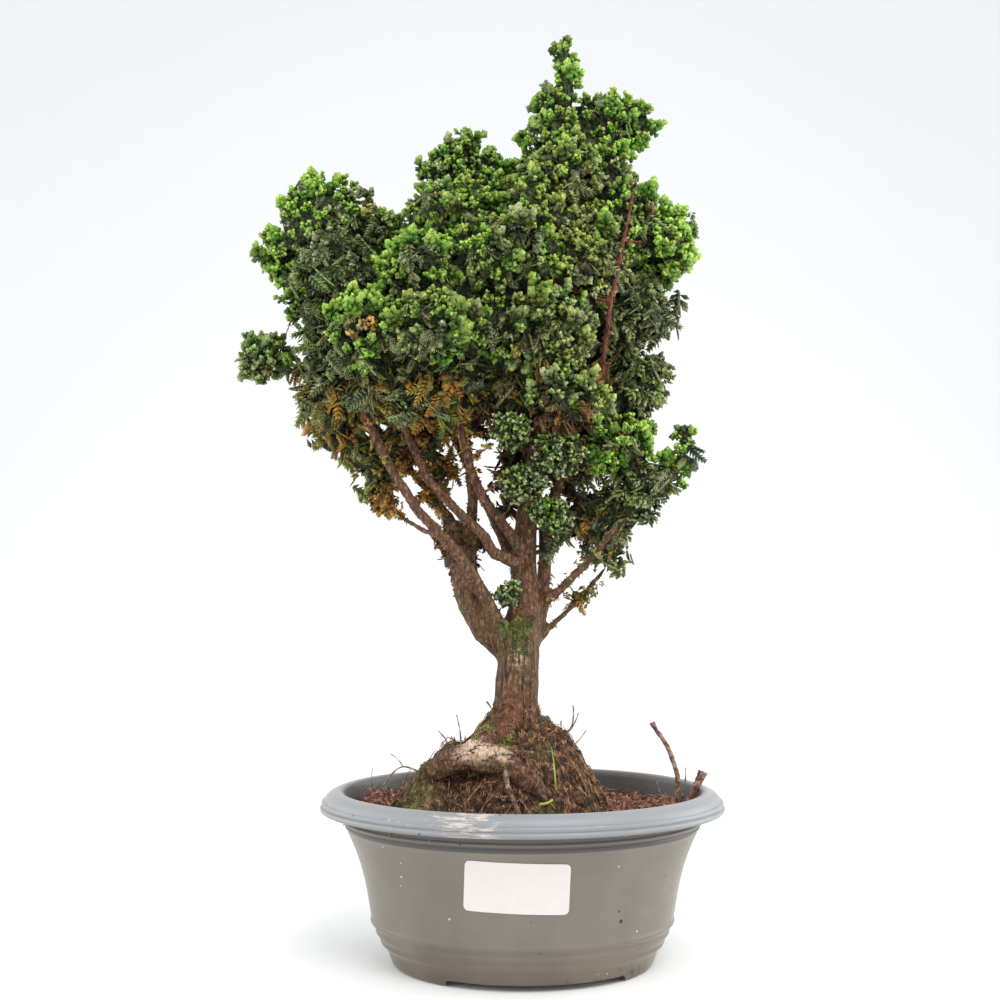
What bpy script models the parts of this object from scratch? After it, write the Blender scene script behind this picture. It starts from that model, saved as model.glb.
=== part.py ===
"""Hinoki cypress bonsai, grown in an oval plastic training pot.

Metres, +Z up. The pot's long side faces -Y, and the origin lies on the ground
under the middle of the whole object. Natural sizes below are in millimetres.
"""
import math
import random

import bmesh
import bpy
from mathutils import Matrix, Vector, noise

MM = 0.001
GAP = 0.3  # clearance that a piece keeps to what carries it
SLIVER = 0.04  # edges shorter than this, left by a cut, are closed up
SEED = "hinoki"

# Pot: half-widths are along X, and the oval is the same outline squashed along Y
POT_SQUASH = 0.77
POT_STEPS = 32
POT_WALL = 2.4
POT_FLOOR = 6.0
POT_BASE = 3.6
FOOT_OUTER = 66.0
FOOT_INNER = 62.0
FOOT_ROUND = (1.5, 2.0)  # how far out and up the foot's outer edge slopes
FOOT_DRAFT = 0.6
ARCH_WIDTH = 88.0
ARCH_DEPTH = 200.0
ARCH_HEIGHT = 3.5
ARCH_SHIFT = 6.0
DRAIN_RADIUS = 4.5
DRAIN_DEPTH = 12.0
DRAIN_SIDES = 10
DRAIN_SPOTS = ((-34.0, 0.0), (34.0, 0.0), (0.0, -24.0), (0.0, 24.0))
# Outer wall from under the rim down to the foot: half-width and height
WALL = ((93.3, 71.0), (88.2, 64.5), (83.6, 51.4), (80.2, 37.6), (78.0, 23.6), (73.5, 14.7), (69.8, 8.5))
# Rolled rim from its crest outwards and back under to the wall
RIM = ((94.6, 88.5), (97.0, 88.3), (101.5, 85.6), (104.2, 81.8), (105.0, 78.0), (103.6, 75.4), (95.0, 73.2))

LABEL_WIDTH = 50.0
LABEL_HEIGHT = 25.0
LABEL_THICK = 0.4
LABEL_CENTRE = (-3.6, 52.5)  # along X, and up the wall
LABEL_LEAN = math.radians(-2.0)
LABEL_STANDOFF = 0.45  # between the wall's smooth oval and the label's back

SOIL_TOP = 77.0
SOIL_RIPPLE = 2.0
SOIL_RIPPLE_SIZE = 18.0
SOIL_STEPS = 16
SOIL_RINGS = (30.0, 58.0, 76.0)  # half-widths of the rings that its top is raised on

# Heap of old soil and fine roots under the trunk
HEAP_CENTRE = (-8.0, -4.0)
HEAP_LEFT = 60.0
HEAP_RIGHT = 53.0
HEAP_DEPTH = 46.0
HEAP_SKIRT = 84.0
HEAP_HEIGHT = 54.0
HEAP_ROOT = 30.0
HEAP_SLOPE = 0.8  # under 1 for a rounded brow, over 1 for a hollow flank
HEAP_LUMPS = 1.6
HEAP_LUMP_SIZE = 9.0

# Wood: each limb is a hand-picked route of x, y, z and radius
LIMBS = {
    "trunk": ((-6, -5, 76, 6), (-4, -5, 120, 14.5), (-3, -5, 135, 12.2), (-2, -4, 153, 11.8), (-2, -3, 166, 11.8),
              (1, -2, 181, 8.6), (1, 0, 207, 6.8), (2, 0, 223, 6), (5, 0, 256, 5), (13, 0, 320, 3.8),
              (21, 0, 400, 2.6), (25, 0, 468, 1.2)),
    "twin": ((3, 2, 161, 7), (10, 5, 181, 4.4), (12, 7, 202, 3.9), (13, 8, 224, 3.7), (22, 6, 258, 3.1),
             (40, -22, 300, 2), (44, -38, 336, 1.6), (51, -35, 369, 1.4), (58, -18, 398, 1.1)),
    "left_trunk": ((-7, -4, 160, 8.6), (-18.5, -6, 171, 8.4), (-26.5, -5, 186, 8.2), (-31, -4, 203, 7.6),
                   (-27, -2, 217, 3.4), (-26, 0, 240, 2.8), (-32, 7, 290, 2.3), (-34, 6, 388, 1.2)),
    "limb_a": ((-8, -10, 166, 4.4), (-19, -18, 188, 3.6), (-28, -23, 203, 3.4), (-36, -27, 214, 3.1),
               (-53, -30, 232, 2.8), (-67, -30, 254, 2.6), (-80, -26, 280, 2.3), (-101, -3, 348, 1.5),
               (-112, 0, 388, 1.1)),
    "limb_b": ((-3, -6, 206, 4), (-15, -14, 211, 3.2), (-20, -18, 220, 2.9), (-33, -22, 232, 2.7),
               (-49, -22, 249, 2.5), (-61, -20, 276, 2.2), (-82, -2, 386, 1.1)),
    "limb_c": ((-1, -4, 214, 3.6), (-11, -14, 227, 2.8), (-22, -22, 241, 2.6), (-28, -27, 258, 2.4),
               (-35, -26, 288, 2.1), (-32, -2, 416, 1.1)),
    "limb_back": ((-27, 0, 205, 3.6), (-38, 8, 230, 2.4), (-60, 13, 256, 2.2), (-90, 17, 294, 1.9),
                  (-132, 8, 314, 1.2)),
    "limb_low": ((-40, -27, 219, 2.2), (-50, -14, 222, 1.7), (-62, -9, 229, 1.4), (-70, -6, 238, 1.1)),
    "limb_right": ((7, 3, 182, 4), (19, -2, 191, 2.6), (38, -6, 210, 2.1), (48, -7, 223, 2), (84, 0, 268, 1)),
    "limb_thin": ((5, 2, 161, 3.4), (16, 4, 173, 2.1), (31, 4, 187, 1.7), (44, 4, 203, 1.2)),
    "limb_rear": ((3, 4, 214, 3.6), (8, 20, 240, 2.8), (20, 36, 276, 2.4), (38, 42, 330, 2), (50, 40, 386, 1.4)),
    "limb_rear_left": ((-1, 3, 200, 3.8), (-18, 20, 236, 2.8), (-44, 36, 290, 2.3), (-64, 40, 384, 1.4)),
    "root_hump": ((-48, -29, 99, 6), (-39, -33, 106, 8.2), (-26, -34, 110, 9), (-12, -35.5, 108.5, 8.6),
                  (5, -40, 97, 5.8), (13, -41, 88, 3.6)),
    "root_bridge": ((-5, -6, 124, 11), (-22, -33, 110, 7.6)),
    "root_hanging": ((-9, -42, 106, 2.2), (-8, -46.5, 97, 1.7), (-4, -48.5, 89, 1.6), (-1, -51, 81, 1.4)),
    "root_right": ((6, -6, 121, 9), (22, -10, 108, 7.4), (37, -12, 89, 3.6)),
    "root_left": ((-13, 2, 118, 8), (-32, 8, 104, 6), (-46, 12, 92, 3.6)),
    "root_rear": ((-4, 8, 118, 9), (-8, 36, 92, 4)),
    "snag": ((-8, -8, 128, 2.4), (-16, -13, 131, 1.2), (-19, -14, 136, 0.8)),
}
TRUNK_LIMBS = ("trunk", "left_trunk")
# Rough heap of dead bark and shoots caught behind the left fork
DEAD_KNOT = ((-33, 0, 217), (14, 9, 14))
KNOT_REACH = (0.72, 1.15)  # how far its hollows and its stubs stand from its centre
KNOT_LUMPS = 0.3
KNOT_DETAIL = 2.1

# Dead sticks standing loose in the soil or the heap
STICKS = {
    "dead_stick": ((80, 3, 66, 1.2), (81, 3, 84, 1.2), (82, 2, 92, 1.2), (80, 4, 99, 1.2), (78, 6, 107, 1.2),
                   (73, 8, 115, 1.1), (69, 10, 121, 1.3)),
    "cut_stub": ((83, 4, 68, 2.2), (89.6, 3, 86, 2.1), (95, 2, 96, 2.4)),
    "grass_blade": ((16, -36, 92, 0.7), (15.5, -37, 100, 0.8), (15, -37.5, 107, 0.7), (14, -38, 114, 0.4)),
}

# Dead rootlets that stick out of the heap, grown in one with it
ROOTLETS = (
    ((-37, -14, 104, 0.9), (-38, -17, 114, 0.6), (-43, -18, 120, 0.5)),
    ((-31, -7, 108, 0.9), (-32, -10, 117, 0.6), (-34, -10, 127, 0.5)),
    ((20, 4, 108, 1), (21, 4, 118, 0.8), (26, 4, 122, 0.8), (27, 4, 134, 0.6)),
    ((25, 10, 100, 0.9), (26, 9, 111, 0.6), (34, 8, 120, 0.5)),
    ((-44, -28, 98, 0.9), (-56, -32, 105, 0.8), (-64, -34, 104, 0.7), (-69, -35, 97, 0.6)),
)

# Sprays: centre and half-sizes along x, y, z, and the look of their shoots
SPRAYS = {
    "spire_tip": ((22, 0, 475), (11, 10, 21), "bright"),
    "spire": ((19, 2, 437), (20, 18, 28), "bright"),
    "right_top": ((51, 4, 441), (22, 18, 21), "bright"),
    "crown_top": ((20, -12, 402), (25, 26, 26), "bright"),
    "right_shoulder": ((57, -4, 398), (20, 25, 17), "bright"),
    "left_centre_top": ((-34, 0, 419), (20, 20, 21), "bright"),
    "left_centre": ((-36, -25, 384), (27, 27, 22), "bright"),
    "left_top": ((-114, 2, 400), (19, 20, 19), "bright"),
    "left_shoulder": ((-84, -6, 384), (25, 28, 21), "bright"),
    "far_left_upper": ((-129, 5, 371), (15, 21, 18), "bright"),
    "far_left_middle": ((-120, 2, 345), (12, 20, 14), "bright"),
    "far_left_low": ((-139, 5, 315), (18, 20, 18), "bright"),
    "left_middle": ((-94, -24, 352), (26, 27, 23), "olive"),
    "left_bright": ((-81, -48, 326), (16, 14, 16), "bright"),
    "centre_left": ((-49, -38, 350), (24, 27, 22), "bright"),
    "centre_left_low": ((-45, -55, 321), (25, 19, 15), "bright"),
    "centre": ((-5, -36, 357), (26, 28, 28), "bright"),
    "centre_right": ((30, -26, 358), (24, 28, 26), "bright"),
    "right_clump": ((76, 0, 376), (22, 28, 27), "bright"),
    "right_middle": ((64, -3, 338), (22, 30, 22), "olive"),
    "right_lower": ((58, -4, 302), (24, 30, 22), "olive"),
    "centre_low": ((11, -40, 320), (28, 26, 22), "bright"),
    "centre_lower": ((20, -36, 288), (27, 26, 20), "bright"),
    "centre_inner": ((-10, -20, 295), (19, 20, 21), "olive"),
    "left_hanging": ((-94, -8, 297), (29, 32, 32), "olive"),
    "lower_left": ((-78, 3, 256), (15, 18, 20), "olive"),
    "centre_hanging": ((-45, -32, 298), (26, 22, 22), "olive"),
    "inner_bronze": ((-33, -4, 284), (20, 16, 18), "bronze"),
    "lower_bronze": ((-55, 10, 268), (15, 13, 19), "bronze"),
    "centre_bronze": ((-2, 8, 254), (17, 16, 25), "bronze"),
    "knob_upper": ((-5, -33, 272), (13, 13, 12), "bright"),
    "knob_middle": ((17, -35, 260), (15, 13, 14), "bright"),
    "knob_lower": ((0, -26, 246), (14, 13, 12), "bright"),
    "knob_bottom": ((14, -20, 231), (14, 13, 11), "bright"),
    "right_low": ((46, -8, 271), (27, 29, 23), "bright"),
    "right_inner": ((33, 8, 231), (16, 17, 22), "olive"),
    "right_bottom": ((60, -4, 241), (21, 24, 22), "olive"),
    "branch_tip": ((86, 0, 268), (11, 12, 17), "bright"),
    "right_hanging": ((48, 0, 216), (17, 17, 18), "olive"),
    "trunk_sprig": ((-7, -15, 189), (8, 7, 8), "bright"),
    "dry_sprig": ((30, 3, 188), (9, 7, 8), "bronze"),
    "low_sprig": ((-72, -6, 240), (10, 10, 10), "bronze"),
    "rear_top": ((6, 40, 405), (33, 28, 29), "bright"),
    "rear_left": ((-72, 42, 382), (27, 32, 27), "bright"),
    "rear_far_left": ((-106, 34, 346), (27, 28, 32), "bright"),
    "rear_right": ((54, 42, 384), (30, 30, 30), "bright"),
    "rear_centre": ((-12, 46, 348), (36, 32, 32), "olive"),
    "rear_right_low": ((44, 44, 324), (31, 31, 32), "olive"),
    "rear_left_low": ((-66, 42, 318), (35, 32, 33), "olive"),
    "rear_low": ((30, 42, 270), (29, 28, 26), "olive"),
}
SMALL_SPRAY = 19.5  # mean half-size under which a spray has 20 shoots and not 80
# How far a shoot's tip and the hollows round it stand from the centre, for each look
SHOOTS = {
    "bright": {"tip": (0.88, 1.04), "hollow": (0.66, 0.78), "hang": 0.0},
    "olive": {"tip": (0.86, 1.04), "hollow": (0.60, 0.74), "hang": 0.14},
    "bronze": {"tip": (0.82, 1.02), "hollow": (0.60, 0.74), "hang": 0.10},
}
LOBES = 0.12  # slow swelling of a whole spray, as a share of its half-size
REACH = 1.1  # furthest that any shoot stands out, as a share of the half-size
SPRAY_GAP = 0.7  # clearance between neighbouring sprays
SPRAY_NEAR = 1.2  # neighbours further off than this share of the two reaches are let be
WANDER = (0.16, 0.10)  # how far a shoot wanders sideways in a small and in a large spray
LOBE_DETAIL = 1.6
TWIG_THICK = (1.5, 0.9)
TWIG_TO_LIMB = 0.9  # thickest twig, as a share of the limb that it leaves
TWIG_DEPTH = 0.5  # share of a spray's half-size that its twig's end keeps from the centre
TWIG_SHORTEST = 0.6  # share of a spray's half-size within which the limb itself carries it
TWIG_RISE = 12.0  # a twig would rather climb this far than run level
TWIG_LEVEL_COST = 1.5


def material(name, colour, roughness):
    """Principled material from an sRGB colour in hex."""
    shade = bpy.data.materials.new(name)
    shade.use_nodes = True
    channels = [int(colour[i:i + 2], 16) / 255 for i in (1, 3, 5)]
    linear = [c / 12.92 if c <= 0.04045 else ((c + 0.055) / 1.055) ** 2.4 for c in channels]
    shader = shade.node_tree.nodes["Principled BSDF"]
    shader.inputs["Base Color"].default_value = (*linear, 1.0)
    shader.inputs["Roughness"].default_value = roughness
    shader.inputs["Metallic"].default_value = 0.0
    return shade


def place(name, mesh, shade, collection):
    """Add one named sub-part to a collection."""
    obj = bpy.data.objects.new(name, mesh)
    if shade:
        mesh.materials.clear()
        mesh.materials.append(shade)
    collection.objects.link(obj)
    return obj


def evaluated_mesh(obj):
    """The object's mesh with its modifiers applied."""
    bpy.context.view_layer.update()
    return bpy.data.meshes.new_from_object(obj.evaluated_get(bpy.context.evaluated_depsgraph_get()))


def tube(route, sides, spare, extra, collection):
    """Closed tube along a route of x, y, z and radius, welded into one mesh."""
    curve = bpy.data.curves.new("tube", "CURVE")
    curve.dimensions = "3D"
    curve.bevel_depth = 1.0
    curve.bevel_resolution = sides // 2 - 2
    curve.render_resolution_u = 0
    curve.use_fill_caps = True
    centres = [Vector(point[:3]) for point in route]
    centres[0] += (centres[0] - centres[1]).normalized() * spare
    centres[-1] += (centres[-1] - centres[-2]).normalized() * spare
    spline = curve.splines.new("POLY")
    spline.points.add(len(route) - 1)
    for point, centre, spot in zip(spline.points, centres, route):
        point.co = (*(centre * MM), 1.0)
        point.radius = (spot[3] + extra) * MM
    holder = bpy.data.objects.new("tube", curve)
    collection.objects.link(holder)
    mesh = evaluated_mesh(holder)
    bpy.data.objects.remove(holder)
    bm = bmesh.new()
    bm.from_mesh(mesh)
    bmesh.ops.remove_doubles(bm, verts=bm.verts, dist=1e-6)
    bmesh.ops.recalc_face_normals(bm, faces=bm.faces)
    bm.to_mesh(mesh)
    bm.free()
    return place("tube", mesh, None, collection)


def join_bodies(name, pieces, shade, collection):
    """Fuse overlapping closed pieces into one body, with a union on their collection."""
    first, rest = pieces[0], pieces[1:]
    joined = bpy.data.collections.new(name + "_pieces")
    for piece in rest:
        joined.objects.link(piece)
    union = first.modifiers.new("Union", "BOOLEAN")
    union.operation = "UNION"
    union.solver = "MANIFOLD"
    union.operand_type = "COLLECTION"
    union.collection = joined
    mesh = evaluated_mesh(first)
    for piece in pieces:
        bpy.data.objects.remove(piece)
    bpy.data.collections.remove(joined)
    return place(name, mesh, shade, collection)


def cut_clear(obj, cutters):
    """Take each cutter out of an object, and drop any scrap that comes loose."""
    for cutter in cutters:
        hole = obj.modifiers.new("Hole", "BOOLEAN")
        hole.operation = "DIFFERENCE"
        hole.solver = "MANIFOLD"
        hole.object = cutter
    mesh = largest_body(evaluated_mesh(obj))
    while len(mesh.materials) > 1:
        mesh.materials.pop()
    obj.modifiers.clear()
    obj.data = mesh


def closed_up(mesh, size):
    """A mesh as triangles with edges under a size closed up, in metres."""
    bm = bmesh.new()
    bm.from_mesh(mesh)
    bmesh.ops.triangulate(bm, faces=bm.faces)
    bmesh.ops.dissolve_degenerate(bm, edges=bm.edges, dist=size)
    bmesh.ops.triangulate(bm, faces=bm.faces)
    return bm


def largest_body(mesh):
    """Keep the largest connected body of a mesh, as triangles with few slivers."""
    for size in (SLIVER, SLIVER / 4, SLIVER / 20, SLIVER / 100):
        bm = closed_up(mesh, size * MM)
        if all(edge.is_manifold for edge in bm.edges):
            break
        bm.free()
    bodies = []
    unseen = set(bm.verts)
    while unseen:
        body = set()
        front = [unseen.pop()]
        while front:
            vert = front.pop()
            body.add(vert)
            for edge in vert.link_edges:
                other = edge.other_vert(vert)
                if other in unseen:
                    unseen.discard(other)
                    front.append(other)
        bodies.append(body)
    keep = max(bodies, key=len)
    bmesh.ops.delete(bm, geom=[v for v in bm.verts if v not in keep], context="VERTS")
    for face in bm.faces:
        face.material_index = 0
    bm.to_mesh(mesh)
    bm.free()
    return mesh


def turned(name, profile, steps, shade, collection):
    """Oval turned shape: a profile of half-width and height, screwed round Z and squashed."""
    mesh = bpy.data.meshes.new(name)
    points = [(radius * MM, 0.0, height * MM) for radius, height in profile]
    mesh.from_pydata(points, [(i, i + 1) for i in range(len(points) - 1)], [])
    obj = place(name, mesh, shade, collection)
    screw = obj.modifiers.new("Screw", "SCREW")
    screw.steps = steps
    screw.render_steps = steps
    screw.use_merge_vertices = True
    screw.merge_threshold = 1e-5
    screw.use_smooth_shade = False
    obj.scale = (1.0, POT_SQUASH, 1.0)
    return obj


def cutter(name, collection):
    """Name the active primitive as a cutter that the build leaves out."""
    obj = bpy.context.active_object
    obj.name = name
    obj.display_type = "WIRE"
    obj.hide_render = True
    for home in obj.users_collection:
        home.objects.unlink(obj)
    collection.objects.link(obj)
    return obj


def build_pot(shade, collection, cutters):
    """Pot: floor, inner wall, rolled rim, outer wall, foot ring with arches, drain holes."""
    inner = [(radius - POT_WALL, height) for radius, height in reversed(WALL[::2])]
    inner[0] = (WALL[-1][0] - POT_WALL, POT_FLOOR)
    edge = (FOOT_OUTER + FOOT_ROUND[0], FOOT_ROUND[1])
    foot = [edge, (FOOT_OUTER, 0.0), (FOOT_INNER, 0.0), (FOOT_INNER - FOOT_DRAFT, POT_BASE)]
    profile = [(0.0, POT_FLOOR), *inner, *RIM, *WALL, *foot, (0.0, POT_BASE)]
    pot = turned("pot", profile, POT_STEPS, shade, collection)
    arch_size = (ARCH_WIDTH * MM, ARCH_DEPTH * MM, 2 * ARCH_HEIGHT * MM)
    bpy.ops.mesh.primitive_cube_add(size=1.0, location=(ARCH_SHIFT * MM, 0.0, 0.0), scale=arch_size)
    tools = [cutter("arch", cutters)]
    for x, y in DRAIN_SPOTS:
        spot = (x * MM, y * MM, POT_FLOOR * MM)
        bpy.ops.mesh.primitive_cylinder_add(
            vertices=DRAIN_SIDES, radius=DRAIN_RADIUS * MM, depth=DRAIN_DEPTH * MM, location=spot)
        tools.append(cutter("drain", cutters))
    for tool in tools:
        hole = pot.modifiers.new("Hole", "BOOLEAN")
        hole.operation = "DIFFERENCE"
        hole.object = tool
    return pot


def wall_half_width(height):
    """Half-width of the pot's outer wall at a height, in millimetres."""
    for (upper, top), (lower, bottom) in zip(WALL, WALL[1:]):
        if bottom <= height <= top:
            return lower + (upper - lower) * (height - bottom) / (top - bottom)
    return WALL[0][0]


def build_label(shade, collection):
    """Blank label, a grid bent round the front of the wall."""
    bm = bmesh.new()
    bmesh.ops.create_grid(bm, x_segments=8, y_segments=3, size=0.5)
    for vert in bm.verts:
        along, up = vert.co.x * LABEL_WIDTH, vert.co.y * LABEL_HEIGHT
        x = LABEL_CENTRE[0] + along * math.cos(LABEL_LEAN) - up * math.sin(LABEL_LEAN)
        z = LABEL_CENTRE[1] + along * math.sin(LABEL_LEAN) + up * math.cos(LABEL_LEAN)
        half = wall_half_width(z) + LABEL_STANDOFF
        y = -POT_SQUASH * math.sqrt(half ** 2 - x ** 2)
        vert.co = (x * MM, y * MM, z * MM)
    mesh = bpy.data.meshes.new("label")
    bm.to_mesh(mesh)
    bm.free()
    label = place("label", mesh, shade, collection)
    skin = label.modifiers.new("Solidify", "SOLIDIFY")
    skin.thickness = LABEL_THICK * MM
    skin.offset = 1.0
    return label


def heap_height(x, y):
    """Top of the heap over a point, in millimetres: a rough cone round the trunk."""
    dx, dy = x - HEAP_CENTRE[0], y - HEAP_CENTRE[1]
    width = HEAP_LEFT if dx < 0 else HEAP_RIGHT
    out = min(1.0, math.hypot(dx / width, dy / HEAP_DEPTH))
    lumps = HEAP_LUMPS * noise.noise(Vector((x, y, 0.0)) / HEAP_LUMP_SIZE) * min(1.0, 4.0 * (1.0 - out))
    return HEAP_SKIRT + HEAP_HEIGHT * (1.0 - out) ** HEAP_SLOPE + lumps


def build_heap(name, extra, shade, collection):
    """Root ball: a sphere pushed into a heap above the soil and a bowl below it."""
    bm = bmesh.new()
    bmesh.ops.create_uvsphere(bm, u_segments=18, v_segments=10, radius=1.0)
    for vert in bm.verts:
        out = math.hypot(vert.co.x, vert.co.y)
        width = HEAP_LEFT if vert.co.x < 0 else HEAP_RIGHT
        x = HEAP_CENTRE[0] + vert.co.x * (width + extra)
        y = HEAP_CENTRE[1] + vert.co.y * (HEAP_DEPTH + extra)
        if vert.co.z > 0.01:
            z = heap_height(x, y)
        else:
            z = HEAP_SKIRT - HEAP_ROOT * math.sqrt(max(0.0, 1.0 - out ** 2)) - extra
        vert.co = (x * MM, y * MM, z * MM)
    mesh = bpy.data.meshes.new(name)
    bmesh.ops.triangulate(bm, faces=bm.faces)
    bm.to_mesh(mesh)
    bm.free()
    heap = place(name, mesh, None, collection)
    rootlets = [tube(route, 4, extra, extra, collection) for route in ROOTLETS]
    return join_bodies(name, [heap, *rootlets], shade, collection)


def build_soil(shade, collection):
    """Soil: a turned filling just clear of the pot, with a rippled top."""
    side = [(radius - POT_WALL - 2 * GAP, height) for radius, height in WALL[::2]]
    side[-1] = (side[-1][0], POT_FLOOR + GAP)
    top = [(radius, SOIL_TOP) for radius in (0.0, *SOIL_RINGS)]
    profile = [*top, (side[0][0], SOIL_TOP - 1.0), *side, (0.0, side[-1][1])]
    soil = turned("soil", profile, SOIL_STEPS, shade, collection)
    mesh = evaluated_mesh(soil)
    soil.modifiers.clear()
    for vert in mesh.vertices:
        if vert.co.z > (SOIL_TOP - 0.5) * MM:
            vert.co.z += SOIL_RIPPLE * MM * noise.noise(vert.co / (SOIL_RIPPLE_SIZE * MM))
        vert.co.y *= POT_SQUASH
    soil.scale = (1.0, 1.0, 1.0)
    soil.data = mesh
    return soil


def twig_route(centre, half):
    """Twig from the nearest limb below a spray into the spray, unless that limb ends in it."""
    centre = Vector(centre)
    best = None
    for name, route in LIMBS.items():
        if name.startswith("root") or name == "snag":
            continue
        for spot in route[1:]:
            point = Vector(spot[:3])
            rise = centre.z - point.z
            cost = (centre - point).length + max(0.0, TWIG_RISE - rise) * TWIG_LEVEL_COST
            if best is None or cost < best[0]:
                best = (cost, point, spot[3])
    start = best[1]
    run = centre - start
    if run.length < TWIG_SHORTEST * min(half):
        return None
    end = start + run * (1.0 - TWIG_DEPTH * min(half) / run.length)
    thick = min(TWIG_THICK[0], TWIG_TO_LIMB * best[2])
    start -= run.normalized() * thick / 2
    return [(*start, thick), (*end, min(thick, TWIG_THICK[1]))]


def build_wood(name, extra, shade, collection):
    """Trunk, limbs, roots and twigs fused into one grown piece."""
    pieces = []
    for limb, route in LIMBS.items():
        sides = 8 if limb in TRUNK_LIMBS else 6
        pieces.append(tube(route, sides, extra, extra, collection))
    for centre, half, _ in SPRAYS.values():
        route = twig_route(centre, half)
        if route:
            pieces.append(tube(route, 4, extra, extra, collection))
    bm = bmesh.new()
    bmesh.ops.create_icosphere(bm, subdivisions=1, radius=1.0)
    hollows = set(bm.verts)
    bmesh.ops.poke(bm, faces=bm.faces)
    for vert in bm.verts:
        ray = vert.co.normalized()
        reach = KNOT_REACH[0 if vert in hollows else 1] + KNOT_LUMPS * noise.noise(ray * KNOT_DETAIL)
        for axis in range(3):
            vert.co[axis] = (DEAD_KNOT[0][axis] + ray[axis] * (DEAD_KNOT[1][axis] * reach + extra)) * MM
    knot = bpy.data.meshes.new("knot")
    bm.to_mesh(knot)
    bm.free()
    pieces.append(place("knot", knot, None, collection))
    return join_bodies(name, pieces, shade, collection)


def reach_along(half, direction):
    """Distance from a spray's centre to its outline's furthest plane along a direction."""
    return math.sqrt(sum((size * REACH * step) ** 2 for size, step in zip(half, direction)))


def walls_between(name):
    """Planes that keep a spray clear of its neighbours: a normal and a distance each."""
    centre, half = Vector(SPRAYS[name][0]), SPRAYS[name][1]
    planes = []
    for other, (spot, size, _) in SPRAYS.items():
        away = Vector(spot) - centre
        if other == name or away.length > SPRAY_NEAR * REACH * (max(half) + max(size)):
            continue
        normal = away.normalized()
        mine, theirs = reach_along(half, normal), reach_along(size, normal)
        if mine + theirs > away.length:
            planes.append((normal, away.length * mine / (mine + theirs) - SPRAY_GAP / 2))
    return planes


def build_spray(name, shade, collection):
    """Spray: a slim head whose surface is raised into shoots and bent clear of its neighbours."""
    centre, half, look = SPRAYS[name]
    draw = random.Random(SEED + name)
    form = SHOOTS[look]
    bm = bmesh.new()
    large = sum(half) / 3 > SMALL_SPRAY
    bmesh.ops.create_icosphere(bm, subdivisions=2 if large else 1, radius=1.0)
    hollows = set(bm.verts)
    bmesh.ops.poke(bm, faces=bm.faces)
    planes = walls_between(name)
    turn = Matrix.Rotation(draw.uniform(0.0, math.tau), 3, "Z")
    wander = WANDER[1] if large else WANDER[0]
    for vert in bm.verts:
        side = Vector((draw.uniform(-1, 1), draw.uniform(-1, 1), draw.uniform(-1, 1))) * wander
        ray = (turn @ vert.co.normalized() + side).normalized()
        share = draw.uniform(*form["hollow" if vert in hollows else "tip"])
        share += LOBES * noise.noise(ray * LOBE_DETAIL + Vector(centre))
        if vert not in hollows:
            share += form["hang"] * max(0.0, -ray.z)
        length = min(share, REACH) / math.sqrt(sum((step / size) ** 2 for step, size in zip(ray, half)))
        for normal, distance in planes:
            forward = ray.dot(normal)
            if forward > 1e-6:
                length = min(length, distance / forward)
        vert.co = (Vector(centre) + ray * length) * MM
    bmesh.ops.triangulate(bm, faces=bm.faces)
    mesh = bpy.data.meshes.new(name)
    bm.to_mesh(mesh)
    bm.free()
    return place("spray_" + name, mesh, shade, collection)


def build_sticks(shades, collection, extra=0.0):
    """Loose sticks and the grass blade, or the holes that they stand in."""
    sticks = []
    for name, route in STICKS.items():
        thick = route[0][3] > 1.0
        stick = tube(route, 6 if thick else 4, extra, extra, collection)
        stick.name = "hole_for_" + name if extra else name
        if not extra:
            stick.data.materials.append(shades["grass" if name == "grass_blade" else "stick"])
        sticks.append(stick)
    return sticks


def centre_on_ground(collection):
    """Hang everything on an empty that brings the object's middle over the origin."""
    bpy.context.view_layer.update()
    depsgraph = bpy.context.evaluated_depsgraph_get()
    low, high = Vector((1e9,) * 3), Vector((-1e9,) * 3)
    for obj in collection.objects:
        shown = obj.evaluated_get(depsgraph)
        for vert in shown.data.vertices:
            spot = obj.matrix_world @ vert.co
            low = Vector(map(min, low, spot))
            high = Vector(map(max, high, spot))
    anchor = bpy.data.objects.new("bonsai", None)
    bpy.context.scene.collection.objects.link(anchor)
    anchor.location = (-(low.x + high.x) / 2, -(low.y + high.y) / 2, -low.z)
    for obj in collection.objects:
        obj.parent = anchor


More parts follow.
